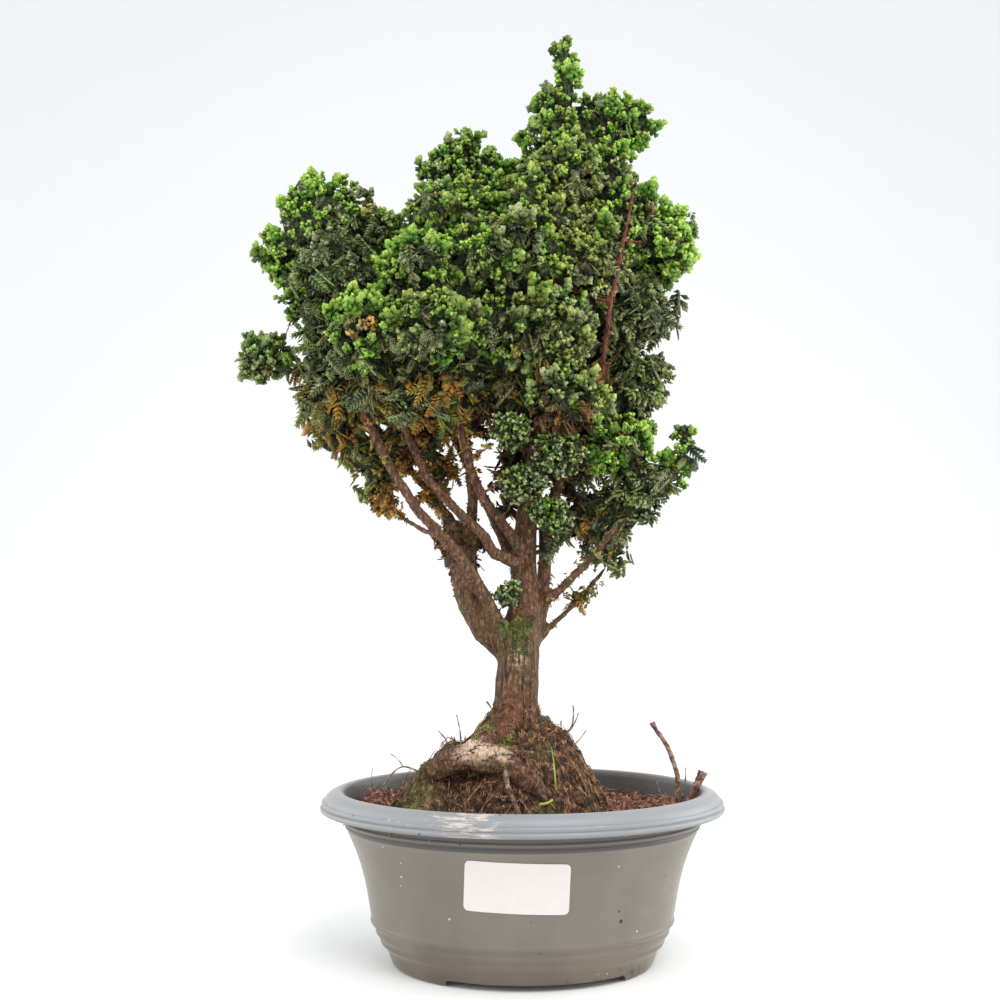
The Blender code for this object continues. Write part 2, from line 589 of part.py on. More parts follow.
def main():
    """Build every piece of the tree and its pot."""
    for obj in list(bpy.data.objects):
        bpy.data.objects.remove(obj)
    bonsai = bpy.data.collections.new("hinoki_bonsai")
    cutters = bpy.data.collections.new("cutters")
    bpy.context.scene.collection.children.link(bonsai)
    bpy.context.scene.collection.children.link(cutters)

    shades = {
        "pot": material("grey_plastic", "#84868A", 0.55),
        "label": material("label_paper", "#F3ECE9", 0.6),
        "soil": material("fibrous_soil", "#6B4A37", 0.95),
        "heap": material("mossy_soil", "#5E4A34", 0.95),
        "bark": material("cypress_bark", "#8A6A52", 0.85),
        "stick": material("dead_wood", "#7A5C4A", 0.85),
        "grass": material("grass", "#B7C23E", 0.6),
        "bright": material("bright_foliage", "#4E7F34", 0.7),
        "olive": material("olive_foliage", "#4B5E3C", 0.75),
        "bronze": material("dead_foliage", "#8A6423", 0.8),
    }
    build_pot(shades["pot"], bonsai, cutters)
    build_label(shades["label"], bonsai)
    wood_space = build_wood("wood_space", GAP, None, cutters)
    heap_space = build_heap("heap_space", GAP, None, cutters)
    holes = build_sticks(shades, cutters, GAP)
    wood = build_wood("wood", 0.0, shades["bark"], bonsai)
    largest_body(wood.data)
    build_sticks(shades, bonsai)
    heap = build_heap("root_ball", 0.0, shades["heap"], bonsai)
    cut_clear(heap, [wood_space, *holes])
    soil = build_soil(shades["soil"], bonsai)
    cut_clear(soil, [heap_space, wood_space, *holes])
    for name, spec in SPRAYS.items():
        spray = build_spray(name, shades[spec[2]], bonsai)
        cut_clear(spray, [wood_space])
    for space in (wood_space, heap_space, *holes):
        bpy.data.objects.remove(space)
    centre_on_ground(bonsai)


main()
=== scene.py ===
"""Hinoki cypress bonsai in an oval plastic training pot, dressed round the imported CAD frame.

Metres, +Z up, the pot's long front faces -Y. Each section below makes one piece or one group
of like pieces, in the order in which the tree is potted: pot, label, soil, root ball, wood, foliage.
"""
import math
import random

import bmesh
import bpy
import numpy as np
from mathutils import Matrix, Vector, noise
from mathutils.bvhtree import BVHTree


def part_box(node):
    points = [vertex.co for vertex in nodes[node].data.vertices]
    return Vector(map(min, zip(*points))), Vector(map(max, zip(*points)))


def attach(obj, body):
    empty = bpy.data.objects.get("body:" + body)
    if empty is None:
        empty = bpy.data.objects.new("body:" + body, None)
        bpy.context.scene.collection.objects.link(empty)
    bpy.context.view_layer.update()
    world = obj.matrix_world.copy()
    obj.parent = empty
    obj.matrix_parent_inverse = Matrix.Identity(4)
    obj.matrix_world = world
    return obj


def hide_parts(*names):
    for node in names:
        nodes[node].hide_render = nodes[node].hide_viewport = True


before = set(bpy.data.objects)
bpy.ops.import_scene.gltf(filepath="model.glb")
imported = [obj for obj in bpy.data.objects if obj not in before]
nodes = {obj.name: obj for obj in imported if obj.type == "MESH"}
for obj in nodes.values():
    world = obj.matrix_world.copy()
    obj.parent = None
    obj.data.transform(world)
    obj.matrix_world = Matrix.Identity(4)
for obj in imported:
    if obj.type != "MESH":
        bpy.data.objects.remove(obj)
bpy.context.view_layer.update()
MM = 0.001

# Camera: at the height of the lower limbs and tipped up a little, so that it looks down into the
# pot and up into the crown. It stands 683 mm in front of the pot's middle.
bpy.ops.object.select_all(action="DESELECT")
bpy.ops.object.camera_add(location=(0.01426, -0.6826, 0.2016), rotation=(math.radians(93.15), 0.0, 0.0))
camera = bpy.context.active_object
camera.name = "camera"
camera.data.sensor_width = 36.0
camera.data.lens = 46.55
camera.data.clip_start = 0.01
bpy.context.scene.camera = camera

# Studio: a pale floor that runs up into a pale backdrop, one broad soft light above and in front,
# a weaker one on the left, a wash from each side, and a faintly blue white surround.
FLOOR_COLOUR = "#F2F1EE"
SURROUND_COLOUR = "#F4F8FF"
SURROUND_STRENGTH = 0.98


def linear(colour):
    """An sRGB colour in hex as linear RGBA."""
    channels = [int(colour[i:i + 2], 16) / 255 for i in (1, 3, 5)]
    return (*[c / 12.92 if c <= 0.04045 else ((c + 0.055) / 1.055) ** 2.4 for c in channels], 1.0)


def add(shade, kind, settings=None, **links):
    """Add a node to a material, with settings and links: a link is an output socket or a value."""
    node = shade.node_tree.nodes.new("ShaderNode" + kind)
    for key, value in (settings or {}).items():
        setattr(node, key, value)
    for key, value in links.items():
        name = key.replace("_", " ")
        socket = node.inputs[int(key[1:])] if key[1:].isdigit() else node.inputs[name]
        if isinstance(value, bpy.types.NodeSocket):
            shade.node_tree.links.new(value, socket)
        else:
            socket.default_value = value
    return node


def new_material(name, roughness):
    """An empty Principled material, and its shader node."""
    shade = bpy.data.materials.new(name)
    shade.use_nodes = True
    shader = shade.node_tree.nodes["Principled BSDF"]
    shader.inputs["Roughness"].default_value = roughness
    return shade, shader


def join_up(shade, output, socket):
    """Link an output to a socket of a material's own shader."""
    shade.node_tree.links.new(output, socket)


def ramp(shade, factor, stops):
    """A colour ramp over a factor, from places and hex colours."""
    node = add(shade, "ValToRGB", None, Fac=factor)
    elements = node.color_ramp.elements
    while len(elements) < len(stops):
        elements.new(0.5)
    for element, (place, colour) in zip(elements, stops):
        element.position = place
        element.color = linear(colour)
    return node.outputs["Color"]


bpy.context.scene.view_settings.view_transform = "Standard"
world = bpy.data.worlds.new("surround")
world.use_nodes = True
world.node_tree.nodes["Background"].inputs["Color"].default_value = linear(SURROUND_COLOUR)
world.node_tree.nodes["Background"].inputs["Strength"].default_value = SURROUND_STRENGTH
bpy.context.scene.world = world

bpy.ops.mesh.primitive_plane_add(size=6.0, location=(0.0, 0.6, 0.0))
floor = bpy.context.active_object
floor.name = "floor"
bpy.ops.object.mode_set(mode="EDIT")
bpy.ops.mesh.select_all(action="SELECT")
bpy.ops.mesh.subdivide(number_cuts=24)
bpy.ops.object.mode_set(mode="OBJECT")
for vert in floor.data.vertices:
    back = max(0.0, vert.co.y - 0.6)
    vert.co.z = 0.9 * back ** 2
floor_shade, shader = new_material("pale_paper_backdrop", 0.9)
shader.inputs["Base Color"].default_value = linear(FLOOR_COLOUR)
floor.data.materials.append(floor_shade)
bpy.ops.object.shade_smooth()
bpy.ops.object.transform_apply(location=True)

for name, spot, aim, size, power in (
        ("key", (0.45, -1.0, 1.45), (0.0, 0.0, 0.25), 0.9, 15.0),
        ("fill", (-1.1, -0.8, 0.75), (0.0, 0.0, 0.22), 0.8, 4.0),
        ("left_wash", (-1.3, 0.25, 0.45), (0.0, 0.0, 0.22), 1.0, 7.0),
        ("right_wash", (1.3, 0.15, 0.40), (0.0, 0.0, 0.20), 1.0, 12.0)):
    bpy.ops.object.light_add(type="AREA", location=spot)
    lamp = bpy.context.active_object
    lamp.name = name
    lamp.data.size = size
    lamp.data.energy = power
    lamp.rotation_euler = (Vector(aim) - Vector(spot)).to_track_quat("-Z", "Y").to_euler()

# Pot: one injection-moulded oval of grey polypropylene, with a stepped rolled lip, two fine beads
# under it, three soft rings above the foot, and a foot ring cut by an arch in front and behind.
POT_SIDES = 144
POT_SQUASH = 0.77
POT_RINGS = (
    (30.0, 6.2), (64.0, 6.2), (67.0, 8.0), (70.6, 13.0), (75.6, 23.6), (77.8, 37.6), (81.2, 51.4),
    (85.8, 63.5), (89.0, 69.0), (90.6, 74.0), (91.6, 80.0), (92.3, 85.0), (92.9, 87.4), (94.2, 88.4),
    (96.2, 88.5), (98.4, 87.8), (100.6, 86.7), (102.0, 85.3), (102.7, 84.0), (102.9, 83.5), (103.6, 83.4),
    (104.2, 82.8), (104.3, 82.0), (104.0, 81.4), (103.7, 81.0), (104.3, 80.7), (104.9, 80.1), (105.0, 79.3),
    (104.7, 78.6), (104.0, 78.2), (101.0, 78.4), (96.0, 78.6), (94.0, 78.0), (93.2, 76.8), (92.8, 74.6),
    (93.5, 74.1), (93.7, 73.4), (93.3, 72.7), (92.5, 72.3), (92.0, 71.6), (92.3, 71.0), (92.1, 70.3),
    (91.2, 69.4), (90.2, 66.8), (88.8, 64.0), (86.3, 58.0), (84.0, 51.4), (82.1, 44.5), (80.6, 37.6),
    (79.4, 31.0), (78.5, 25.8), (78.2, 24.2), (78.6, 23.4), (78.7, 22.5), (78.2, 21.6), (76.9, 20.6),
    (75.9, 19.2), (75.7, 18.2), (76.0, 17.5), (75.8, 16.6), (74.9, 15.6), (73.8, 14.2), (73.4, 13.0),
    (73.5, 12.2), (73.0, 11.3), (71.8, 10.2), (70.4, 8.6), (69.2, 5.6), (68.0, 2.6), (67.2, 1.0),
    (66.2, 0.2), (65.4, 0.0), (62.0, 0.0), (61.6, 0.6), (61.4, 3.4), (60.6, 3.7), (30.0, 3.7),
)
ARCH = (88.0, 3.5, 6.0)  # width, height and shift along X
pot_low, pot_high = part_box("pot")
pot_x = (pot_low.x + pot_high.x) / 2


def deselect():
    """Leave object mode with nothing selected."""
    if bpy.context.object and bpy.context.object.mode != "OBJECT":
        bpy.ops.object.mode_set(mode="OBJECT")
    bpy.ops.object.select_all(action="DESELECT")


def select_only(obj):
    """Make one object the only selected and the active one."""
    deselect()
    obj.select_set(True)
    bpy.context.view_layer.objects.active = obj


def reshape(obj, kind, **settings):
    """Add a modifier to the active object and apply it."""
    step = obj.modifiers.new(kind, kind)
    for key, value in settings.items():
        setattr(step, key, value)
    bpy.ops.object.modifier_apply(modifier=kind)


def settle(obj, name, shade, slot, *replaced):
    """Finish a piece: name, material, applied place, body and replaced nodes; its slot is not used."""
    select_only(obj)
    bpy.ops.object.transform_apply(location=True, rotation=True, scale=True)
    obj.name = name
    obj.data.name = name
    obj.data.materials.clear()
    obj.data.materials.append(shade)
    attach(obj, "root")
    if replaced:
        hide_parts(*replaced)


deselect()
first = POT_RINGS[0]
bpy.ops.mesh.primitive_circle_add(
    vertices=POT_SIDES, radius=first[0] * MM, location=(pot_x, 0.0, first[1] * MM))
pot = bpy.context.active_object
bpy.ops.object.mode_set(mode="EDIT")
bpy.ops.mesh.select_all(action="SELECT")
for (was, low), (radius, height) in zip(POT_RINGS, POT_RINGS[1:]):
    bpy.ops.mesh.extrude_region_move(TRANSFORM_OT_translate={"value": (0.0, 0.0, (height - low) * MM)})
    share = radius / was
    bpy.ops.transform.resize(value=(share, share, 1.0), center_override=(pot_x, 0.0, height * MM))
bpy.ops.mesh.select_all(action="SELECT")
bpy.ops.transform.resize(value=(1.0, POT_SQUASH, 1.0), center_override=(pot_x, 0.0, 0.0))
bpy.ops.mesh.fill_holes(sides=0)
bpy.ops.mesh.normals_make_consistent(inside=False)
deselect()
bpy.ops.mesh.primitive_cube_add(
    size=1.0, location=(pot_x + ARCH[2] * MM, 0.0, 0.0), scale=(ARCH[0] * MM, 0.2, 2 * ARCH[1] * MM))
arch = bpy.context.active_object
bpy.ops.object.mode_set(mode="EDIT")
bpy.ops.mesh.select_all(action="DESELECT")
bpy.ops.object.mode_set(mode="OBJECT")
for edge in arch.data.edges:
    a, b = (arch.data.vertices[i].co for i in edge.vertices)
    edge.select = a.z > 0 and b.z > 0 and abs(a.x - b.x) < 1e-6
bpy.ops.object.mode_set(mode="EDIT")
bpy.ops.mesh.select_mode(type="EDGE")
bpy.ops.mesh.bevel(offset=0.0018, segments=4)
bpy.ops.mesh.select_mode(type="VERT")
select_only(pot)
reshape(pot, "BOOLEAN", operation="DIFFERENCE", object=arch)
bpy.data.objects.remove(arch)
bpy.ops.object.shade_smooth_by_angle(angle=math.radians(38))


def calc(shade, operation, first, second):
    """A calculation on two values."""
    return add(shade, "Math", {"operation": operation}, i0=first, i1=second).outputs[0]


def blend(shade, factor, first, second):
    """A colour between two colours."""
    return add(shade, "Mix", {"data_type": "RGBA"}, i0=factor, i6=first, i7=second).outputs[2]


def ranged(shade, value, start, end, out_start=0.0, out_end=1.0):
    """A value brought from one range to another and held within it."""
    return add(shade, "MapRange", None, Value=value, From_Min=start, From_Max=end,
               To_Min=out_start, To_Max=out_end).outputs["Result"]


def mottle(shade, place, scale, detail, roughness=0.5):
    """Soft noise over a place, from 0 to 1."""
    return add(shade, "TexNoise", None, Vector=place, Scale=scale, Detail=detail,
               Roughness=roughness).outputs["Fac"]


def away_from(shade, place, middle):
    """How far a place is from a point, in metres."""
    return add(shade, "VectorMath", {"operation": "DISTANCE"}, i0=place, i1=middle).outputs["Value"]


def emboss(shade, shader, height, strength, depth):
    """Raise a material's surface by a height, as a bump."""
    raised = add(shade, "Bump", None, Strength=strength, Distance=depth, Height=height).outputs[0]
    join_up(shade, raised, shader.inputs["Normal"])


# Polypropylene, injection-moulded with a fine matt skin: slate grey, paler on the lip, filmed with dust,
# darker and browner towards the foot, where the brown is a painted warm reflection, and scuffed white where
# it was dragged.
plastic, shader = new_material("grey_moulded_polypropylene", 0.42)
place = add(plastic, "TexCoord").outputs["Object"]
split = add(plastic, "SeparateXYZ", None, Vector=place)
broad = mottle(plastic, place, 22.0, 4.0, 0.6)
height = ranged(plastic, split.outputs["Z"], 0.0, 0.0885)
# Darker and browner towards the foot, the brown a painted warm reflection from below; paler on the lip
wall = ramp(plastic, height, (
    (0.0, "#52483C"), (0.08, "#5E5447"), (0.20, "#655C50"), (0.32, "#6A655A"), (0.70, "#6E695E"),
    (0.84, "#777166"),
    (0.878, "#727170"), (0.90, "#888B8D"), (0.95, "#878A8C"), (1.0, "#8F9294")))
film = ramp(plastic, broad, ((0.42, "#000000"), (0.70, "#FFFFFF")))
amount = calc(plastic, "MULTIPLY", film, 0.35)
dusted = blend(plastic, amount, wall, linear("#8A8174"))
speckle = add(plastic, "TexVoronoi", None, Vector=place, Scale=210.0, Randomness=1.0)
chance = add(plastic, "SeparateColor", None, Color=speckle.outputs["Color"])
dot = calc(plastic, "LESS_THAN", speckle.outputs["Distance"], 0.13)
pale_one = calc(plastic, "GREATER_THAN", chance.outputs["Red"], 0.90)
dark_one = calc(plastic, "LESS_THAN", chance.outputs["Red"], 0.09)
pale_dot = calc(plastic, "MULTIPLY", dot, pale_one)
dark_dot = calc(plastic, "MULTIPLY", dot, dark_one)
speckled = blend(plastic, pale_dot, dusted, linear("#BDB3A4"))
speckled = blend(plastic, dark_dot, speckled, linear("#3B3028"))
# Chalky drag marks on the front of the lip, left of its middle, and fainter ones all round it
stretched = add(plastic, "Mapping", None, Vector=place, Scale=(0.25, 0.25, 1.9)).outputs[0]
streaks = mottle(plastic, stretched, 420.0, 5.0, 0.7)
on_lip = ranged(plastic, split.outputs["Z"], 0.0775, 0.0795)
to_drag = away_from(plastic, place, (-0.002, -0.078, 0.081))
near_drag = ranged(plastic, to_drag, 0.026, 0.008, 0.0, 0.17)
bar = calc(plastic, "SUBTRACT", 0.66, near_drag)
over = calc(plastic, "SUBTRACT", streaks, bar)
chalk = ranged(plastic, over, 0.0, 0.07)
chalk = calc(plastic, "MULTIPLY", chalk, on_lip)
chalk = calc(plastic, "MULTIPLY", chalk, 0.72)
scuffed = blend(plastic, chalk, speckled, linear("#D8C8BC"))
# Dried mud in the lee of the foot, thickest on the right
mud = mottle(plastic, place, 260.0, 5.0, 0.7)
low_down = ranged(plastic, split.outputs["Z"], 0.020, 0.0)
rightward = ranged(plastic, split.outputs["X"], 0.0, 0.075)
wet = calc(plastic, "MULTIPLY", low_down, rightward)
edge = ranged(plastic, wet, 0.0, 1.0, 0.80, 0.48)
caked = calc(plastic, "GREATER_THAN", mud, edge)
caked_over = blend(plastic, caked, scuffed, linear("#3A2E25"))
to_crumb = away_from(plastic, place, (0.0729, -0.0505, 0.0331))
crumb = calc(plastic, "LESS_THAN", to_crumb, 0.0013)
caked_over = blend(plastic, crumb, caked_over, linear("#2B1E16"))
# Painted shade: the inner face of the lip above the soil and the neck under the lip's overhang are darkened
round_again = (1.0, 1.0 / POT_SQUASH, 0.0)
oval = add(plastic, "VectorMath", {"operation": "MULTIPLY"}, i0=place, i1=round_again).outputs[0]
centred = add(plastic, "VectorMath", {"operation": "SUBTRACT"}, i0=oval, i1=(pot_x, 0.0, 0.0)).outputs[0]
radius = add(plastic, "VectorMath", {"operation": "LENGTH"}, i0=centred).outputs["Value"]
within = ranged(plastic, radius, 0.0945, 0.0925)
above = calc(plastic, "GREATER_THAN", split.outputs["Z"], 0.0695)
inner = calc(plastic, "MULTIPLY", within, above)
final = blend(plastic, inner, caked_over, linear("#4A4844"))
shader.inputs["Sheen Weight"].default_value = 0.35
shader.inputs["Sheen Roughness"].default_value = 0.35
shader.inputs["Sheen Tint"].default_value = linear("#EDE2D2")
join_up(plastic, final, shader.inputs["Base Color"])
skin_grain = mottle(plastic, place, 1400.0, 2.0)
emboss(plastic, shader, skin_grain, 0.15, 0.0003)
settle(pot, "pot_moulded", plastic, "pot", "pot")

# Label: a blank self-adhesive paper label with rounded corners, pressed round the front of the wall
# a little out of level. Coated white paper, with a faint tooth and a trace of dust.
LABEL_WIDTH, LABEL_HEIGHT, LABEL_CORNER = 50.0, 25.0, 2.4
LABEL_SPOT = (-3.6, 52.5)
LABEL_LEAN = math.radians(-2.0)
LABEL_THICK = 0.2
LABEL_LIFT = 0.18  # between the wall and the label's back
outer_wall = POT_RINGS[34:62]


def wall_at(height):
    """Half-width of the pot's outer wall at a height, in millimetres."""
    for (upper, top), (lower, bottom) in zip(outer_wall, outer_wall[1:]):
        if bottom <= height <= top:
            return lower + (upper - lower) * (height - bottom) / (top - bottom)
    return outer_wall[-1][0]


deselect()
bpy.ops.mesh.primitive_grid_add(x_subdivisions=32, y_subdivisions=14, size=1.0, location=(0.0, 0.0, 0.0))
label = bpy.context.active_object
for vert in label.data.vertices:
    x, y = vert.co.x * LABEL_WIDTH, vert.co.y * LABEL_HEIGHT
    corner = Vector((abs(x) - LABEL_WIDTH / 2 + LABEL_CORNER, abs(y) - LABEL_HEIGHT / 2 + LABEL_CORNER))
    if corner.x > 0 and corner.y > 0:
        pull = max(corner) / corner.length
        x = math.copysign(LABEL_WIDTH / 2 - LABEL_CORNER + corner.x * pull, x)
        y = math.copysign(LABEL_HEIGHT / 2 - LABEL_CORNER + corner.y * pull, y)
    along = LABEL_SPOT[0] + x * math.cos(LABEL_LEAN) - y * math.sin(LABEL_LEAN)
    up = LABEL_SPOT[1] + x * math.sin(LABEL_LEAN) + y * math.cos(LABEL_LEAN)
    half = wall_at(up) + LABEL_LIFT
    vert.co = (pot_x + along * MM, -POT_SQUASH * math.sqrt(half ** 2 - along ** 2) * MM, up * MM)
bpy.ops.object.mode_set(mode="EDIT")
bpy.ops.mesh.select_all(action="SELECT")
bpy.ops.mesh.normals_make_consistent(inside=False)
bpy.ops.object.mode_set(mode="OBJECT")
if label.data.polygons[0].normal.y > 0:
    label.data.flip_normals()
reshape(label, "SOLIDIFY", thickness=LABEL_THICK * MM, offset=1.0)
bpy.ops.object.shade_smooth_by_angle(angle=math.radians(50))

# Coated label paper: nearly white with a warm cast, smooth enough for a soft sheen.
paper, shader = new_material("coated_label_paper", 0.42)
place = add(paper, "TexCoord").outputs["Object"]
dust = mottle(paper, place, 160.0, 3.0)
join_up(paper, ramp(paper, dust, ((0.35, "#D8D0CB"), (0.62, "#DAD3CF"))), shader.inputs["Base Color"])
tooth = mottle(paper, place, 2600.0, 1.0)
emboss(paper, shader, tooth, 0.12, 0.0002)
settle(label, "label_blank", paper, "label", "label")

# Soil: loose fibrous potting soil, mostly shredded peat and fine dead roots, which fills the pot to a
# centimetre under the lip, is heaped at the left and right ends, and was pressed down by hand.
SOIL_EDGE = 88.4
SOIL_TOP = 76.4
SOIL_STEP = 1.7
THREAD_STEPS = 4  # straight parts of a fine root
# Mounds on it: x, y, height and radius
SOIL_MOUNDS = (
    (-72.0, 10.0, 6.0, 20.0), (-50.0, 34.0, 3.5, 22.0), (72.0, 4.0, 5.0, 16.0), (54.0, -22.0, 2.0, 16.0),
    (-60.0, -22.0, 2.5, 18.0),
)


def rough(x, y, size, seed):
    """Noise between about -1 and 1 over a point, with clods of a size in millimetres."""
    return noise.noise(Vector((x / size, y / size, seed)))


def soil_height(x, y):
    """Top of the soil over a point, in millimetres from the pot's middle."""
    top = SOIL_TOP + 1.2 * rough(x, y, 14.0, 3.1) + 1.4 * rough(x, y, 5.0, 7.7) + 1.2 * rough(x, y, 2.4, 1.3)
    for mound_x, mound_y, rise, radius in SOIL_MOUNDS:
        top += rise * math.exp(-((x - mound_x) ** 2 + (y - mound_y) ** 2) / radius ** 2)
    return top


def mound(name, middle, half_width, half_depth, step, height, drop):
    """Closed body under a height formula, oval from above, with its foot dropped straight down."""
    deselect()
    columns, rows = int(2 * half_width / step), int(2 * half_depth / step)
    bpy.ops.mesh.primitive_grid_add(x_subdivisions=columns, y_subdivisions=rows, size=2.0)
    obj = bpy.context.active_object
    bpy.ops.object.mode_set(mode="EDIT")
    bpy.ops.mesh.select_all(action="DESELECT")
    bpy.ops.object.mode_set(mode="OBJECT")
    for vert in obj.data.vertices:
        u, v = vert.co.x, vert.co.y
        vert.select = math.hypot(u, v) > 1.0
    bpy.ops.object.mode_set(mode="EDIT")
    bpy.ops.mesh.delete(type="VERT")
    bpy.ops.mesh.select_all(action="SELECT")
    bpy.ops.mesh.region_to_loop()
    bpy.ops.mesh.extrude_region_move(TRANSFORM_OT_translate={"value": (0.0, 0.0, -1.0)})
    bpy.ops.mesh.edge_face_add()
    bpy.ops.mesh.select_all(action="SELECT")
    bpy.ops.mesh.normals_make_consistent(inside=False)
    bpy.ops.object.mode_set(mode="OBJECT")
    for vert in obj.data.vertices:
        x, y = middle[0] + vert.co.x * half_width, middle[1] + vert.co.y * half_depth
        z = height(x, y) - (drop if vert.co.z < -0.5 else 0.0)
        vert.co = (pot_x + x * MM, y * MM, z * MM)
    obj.name = name
    bpy.ops.object.shade_smooth()
    return obj


def bulk_mesh(name, verts, faces, **marks):
    """Mesh object from arrays of vertices and triangles, with a value per vertex for each mark."""
    mesh = bpy.data.meshes.new(name)
    mesh.vertices.add(len(verts))
    mesh.vertices.foreach_set("co", np.asarray(verts, np.float32).ravel())
    mesh.loops.add(faces.size)
    mesh.loops.foreach_set("vertex_index", np.asarray(faces, np.int32).ravel())
    mesh.polygons.add(len(faces))
    mesh.polygons.foreach_set("loop_start", np.arange(0, faces.size, 3, dtype=np.int32))
    for mark, values in marks.items():
        mesh.attributes.new(mark, "FLOAT", "POINT").data.foreach_set("value", np.asarray(values, np.float32))
    mesh.update(calc_edges=True)
    mesh.validate()
    mesh.shade_smooth()
    obj = bpy.data.objects.new(name, mesh)
    bpy.context.scene.collection.objects.link(obj)
    return obj


def thread(points, thick, sides=3):
    """Vertices and triangles of a thin closed root along points, tapering to both ends."""
    points = np.asarray(points, float)
    along = np.gradient(points, axis=0)
    along /= np.linalg.norm(along, axis=1)[:, None] + 1e-12
    side = np.cross(along, (0.3, 0.2, 1.0))
    side /= np.linalg.norm(side, axis=1)[:, None] + 1e-12
    other = np.cross(along, side)
    share = np.linspace(0.0, 1.0, len(points))
    radius = thick * (0.55 + 0.45 * np.sin(np.pi * np.clip(0.15 + 0.8 * share, 0, 1)))
    angles = np.arange(sides) * math.tau / sides
    rings = points[:, None] + radius[:, None, None] * (
        np.cos(angles)[None, :, None] * side[:, None] + np.sin(angles)[None, :, None] * other[:, None])
    verts = rings.reshape(-1, 3)
    faces = []
    for ring in range(len(points) - 1):
        for k in range(sides):
            a, b = ring * sides + k, ring * sides + (k + 1) % sides
            faces += [(a, b, b + sides), (a, b + sides, a + sides)]
    last = len(verts) - sides
    for k in range(1, sides - 1):
        faces += [(0, k + 1, k), (last, last + k, last + k + 1)]
    return verts, np.array(faces)


def gather(parts):
    """One array of vertices and one of triangles from many small parts."""
    offsets = np.cumsum([0] + [len(verts) for verts, _ in parts[:-1]])
    return (np.concatenate([verts for verts, _ in parts]),
            np.concatenate([faces + offset for (_, faces), offset in zip(parts, offsets)]))


def strewn_threads(draw, count, spot, height, length, thick, lift):
    """Fine roots that wander over a height formula from random spots, in metres."""
    parts = []
    for _ in range(count):
        x, y = spot(draw)
        heading = draw.uniform(0.0, math.tau)
        span = length * draw.uniform(0.5, 1.3)
        arch = lift * draw.random() ** 2
        points = []
        for step in range(THREAD_STEPS + 1):
            rise = 0.15 + arch * math.sin(math.pi * step / THREAD_STEPS)
            points.append((pot_x + x * MM, y * MM, (height(x, y) + rise) * MM))
            heading += draw.gauss(0.0, 0.5)
            x += span / THREAD_STEPS * math.cos(heading)
            y += span / THREAD_STEPS * math.sin(heading)
        parts.append(thread(points, thick * draw.uniform(0.6, 1.3) * MM))
    return parts


def crumbs(draw, count, spot, height, size):
    """Small lumps of soil that lie on a height formula, in metres."""
    deselect()
    bpy.ops.mesh.primitive_ico_sphere_add(subdivisions=1, radius=1.0)
    lump = bpy.context.active_object
    form = np.array([vert.co for vert in lump.data.vertices])
    faces = np.array([poly.vertices for poly in lump.data.polygons])
    bpy.data.objects.remove(lump)
    shake = np.random.default_rng(11)
    parts = []
    for _ in range(count):
        x, y = spot(draw)
        radius = size * draw.uniform(0.4, 1.2) ** 1.5
        stretch = np.array((draw.uniform(0.7, 1.6), draw.uniform(0.7, 1.3), draw.uniform(0.5, 1.0)))
        turn = np.array(Matrix.Rotation(draw.uniform(0.0, math.tau), 3, "Z"))
        verts = (form * (1 + 0.25 * shake.uniform(-1, 1, (12, 1))) * stretch * radius) @ turn.T
        parts.append(((verts + (x, y, height(x, y) + 0.25 * radius)) * MM + (pot_x, 0.0, 0.0), faces))
    return parts


def soil_spot(draw):
    """Random spot on the soil, in millimetres from the pot's middle, thicker towards the ends."""
    angle, out = draw.uniform(0.0, math.tau), 86.0 * draw.random() ** 0.42
    return out * math.cos(angle), out * POT_SQUASH * math.sin(angle)


soil = mound("soil_body", (0.0, 0.0), SOIL_EDGE, SOIL_EDGE * POT_SQUASH, SOIL_STEP, soil_height, 12.0)
draw = random.Random("soil")
parts = strewn_threads(draw, 760, soil_spot, soil_height, 13.0, 0.28, 4.5)
parts += crumbs(draw, 560, soil_spot, soil_height, 1.3)
litter = bulk_mesh("soil_litter", *gather(parts))

# Shredded peat and bark: dark red-brown clods with paler dry fibres and a few tan flecks.
peat, shader = new_material("fibrous_potting_soil", 0.95)
place = add(peat, "TexCoord").outputs["Object"]
clods = mottle(peat, place, 260.0, 6.0, 0.65)
flecks = add(peat, "TexVoronoi", None, Vector=place, Scale=620.0).outputs["Color"]
fleck = add(peat, "SeparateColor", None, Color=flecks).outputs["Red"]
ground = ramp(peat, clods, ((0.32, "#20110B"), (0.45, "#4C2D1F"), (0.55, "#8A5E46"), (0.66, "#C49876")))
pale = ramp(peat, fleck, ((0.90, "#000000"), (0.96, "#FFFFFF")))
mixed = blend(peat, pale, ground, linear("#A88462"))
join_up(peat, mixed, shader.inputs["Base Color"])
grit = mottle(peat, place, 700.0, 5.0)
emboss(peat, shader, grit, 0.9, 0.0012)
settle(soil, "soil_body", peat, "soil", "soil")

# Dead fine roots and crumbs that lie loose on the soil: wiry, red-brown and matt.
fibre, shader = new_material("dead_fine_roots", 0.85)
place = add(fibre, "TexCoord").outputs["Object"]
shade_of = mottle(fibre, place, 300.0, 3.0)
join_up(fibre, ramp(fibre, shade_of, ((0.36, "#4A281B"), (0.50, "#8A5A43"), (0.64, "#C4997A"))),
        shader.inputs["Base Color"])
settle(litter, "soil_litter", fibre, "soil")

# Root ball: the firm old soil and matted fine roots that the tree was planted in, standing proud of the
# new soil as a rough cone round the trunk, hollow under the front root and mossy where it stays damp.
HEAP_MIDDLE = (-8.0, -4.0)
HEAP_LEFT, HEAP_RIGHT, HEAP_DEPTH = 60.0, 53.0, 46.0
HEAP_SKIRT, HEAP_RISE = 78.0, 59.0


def near_to(*offsets):
    """A soft bump, 1 at its middle, from pairs of a distance from it and a reach."""
    return math.exp(-sum((away / reach) ** 2 for away, reach in offsets))


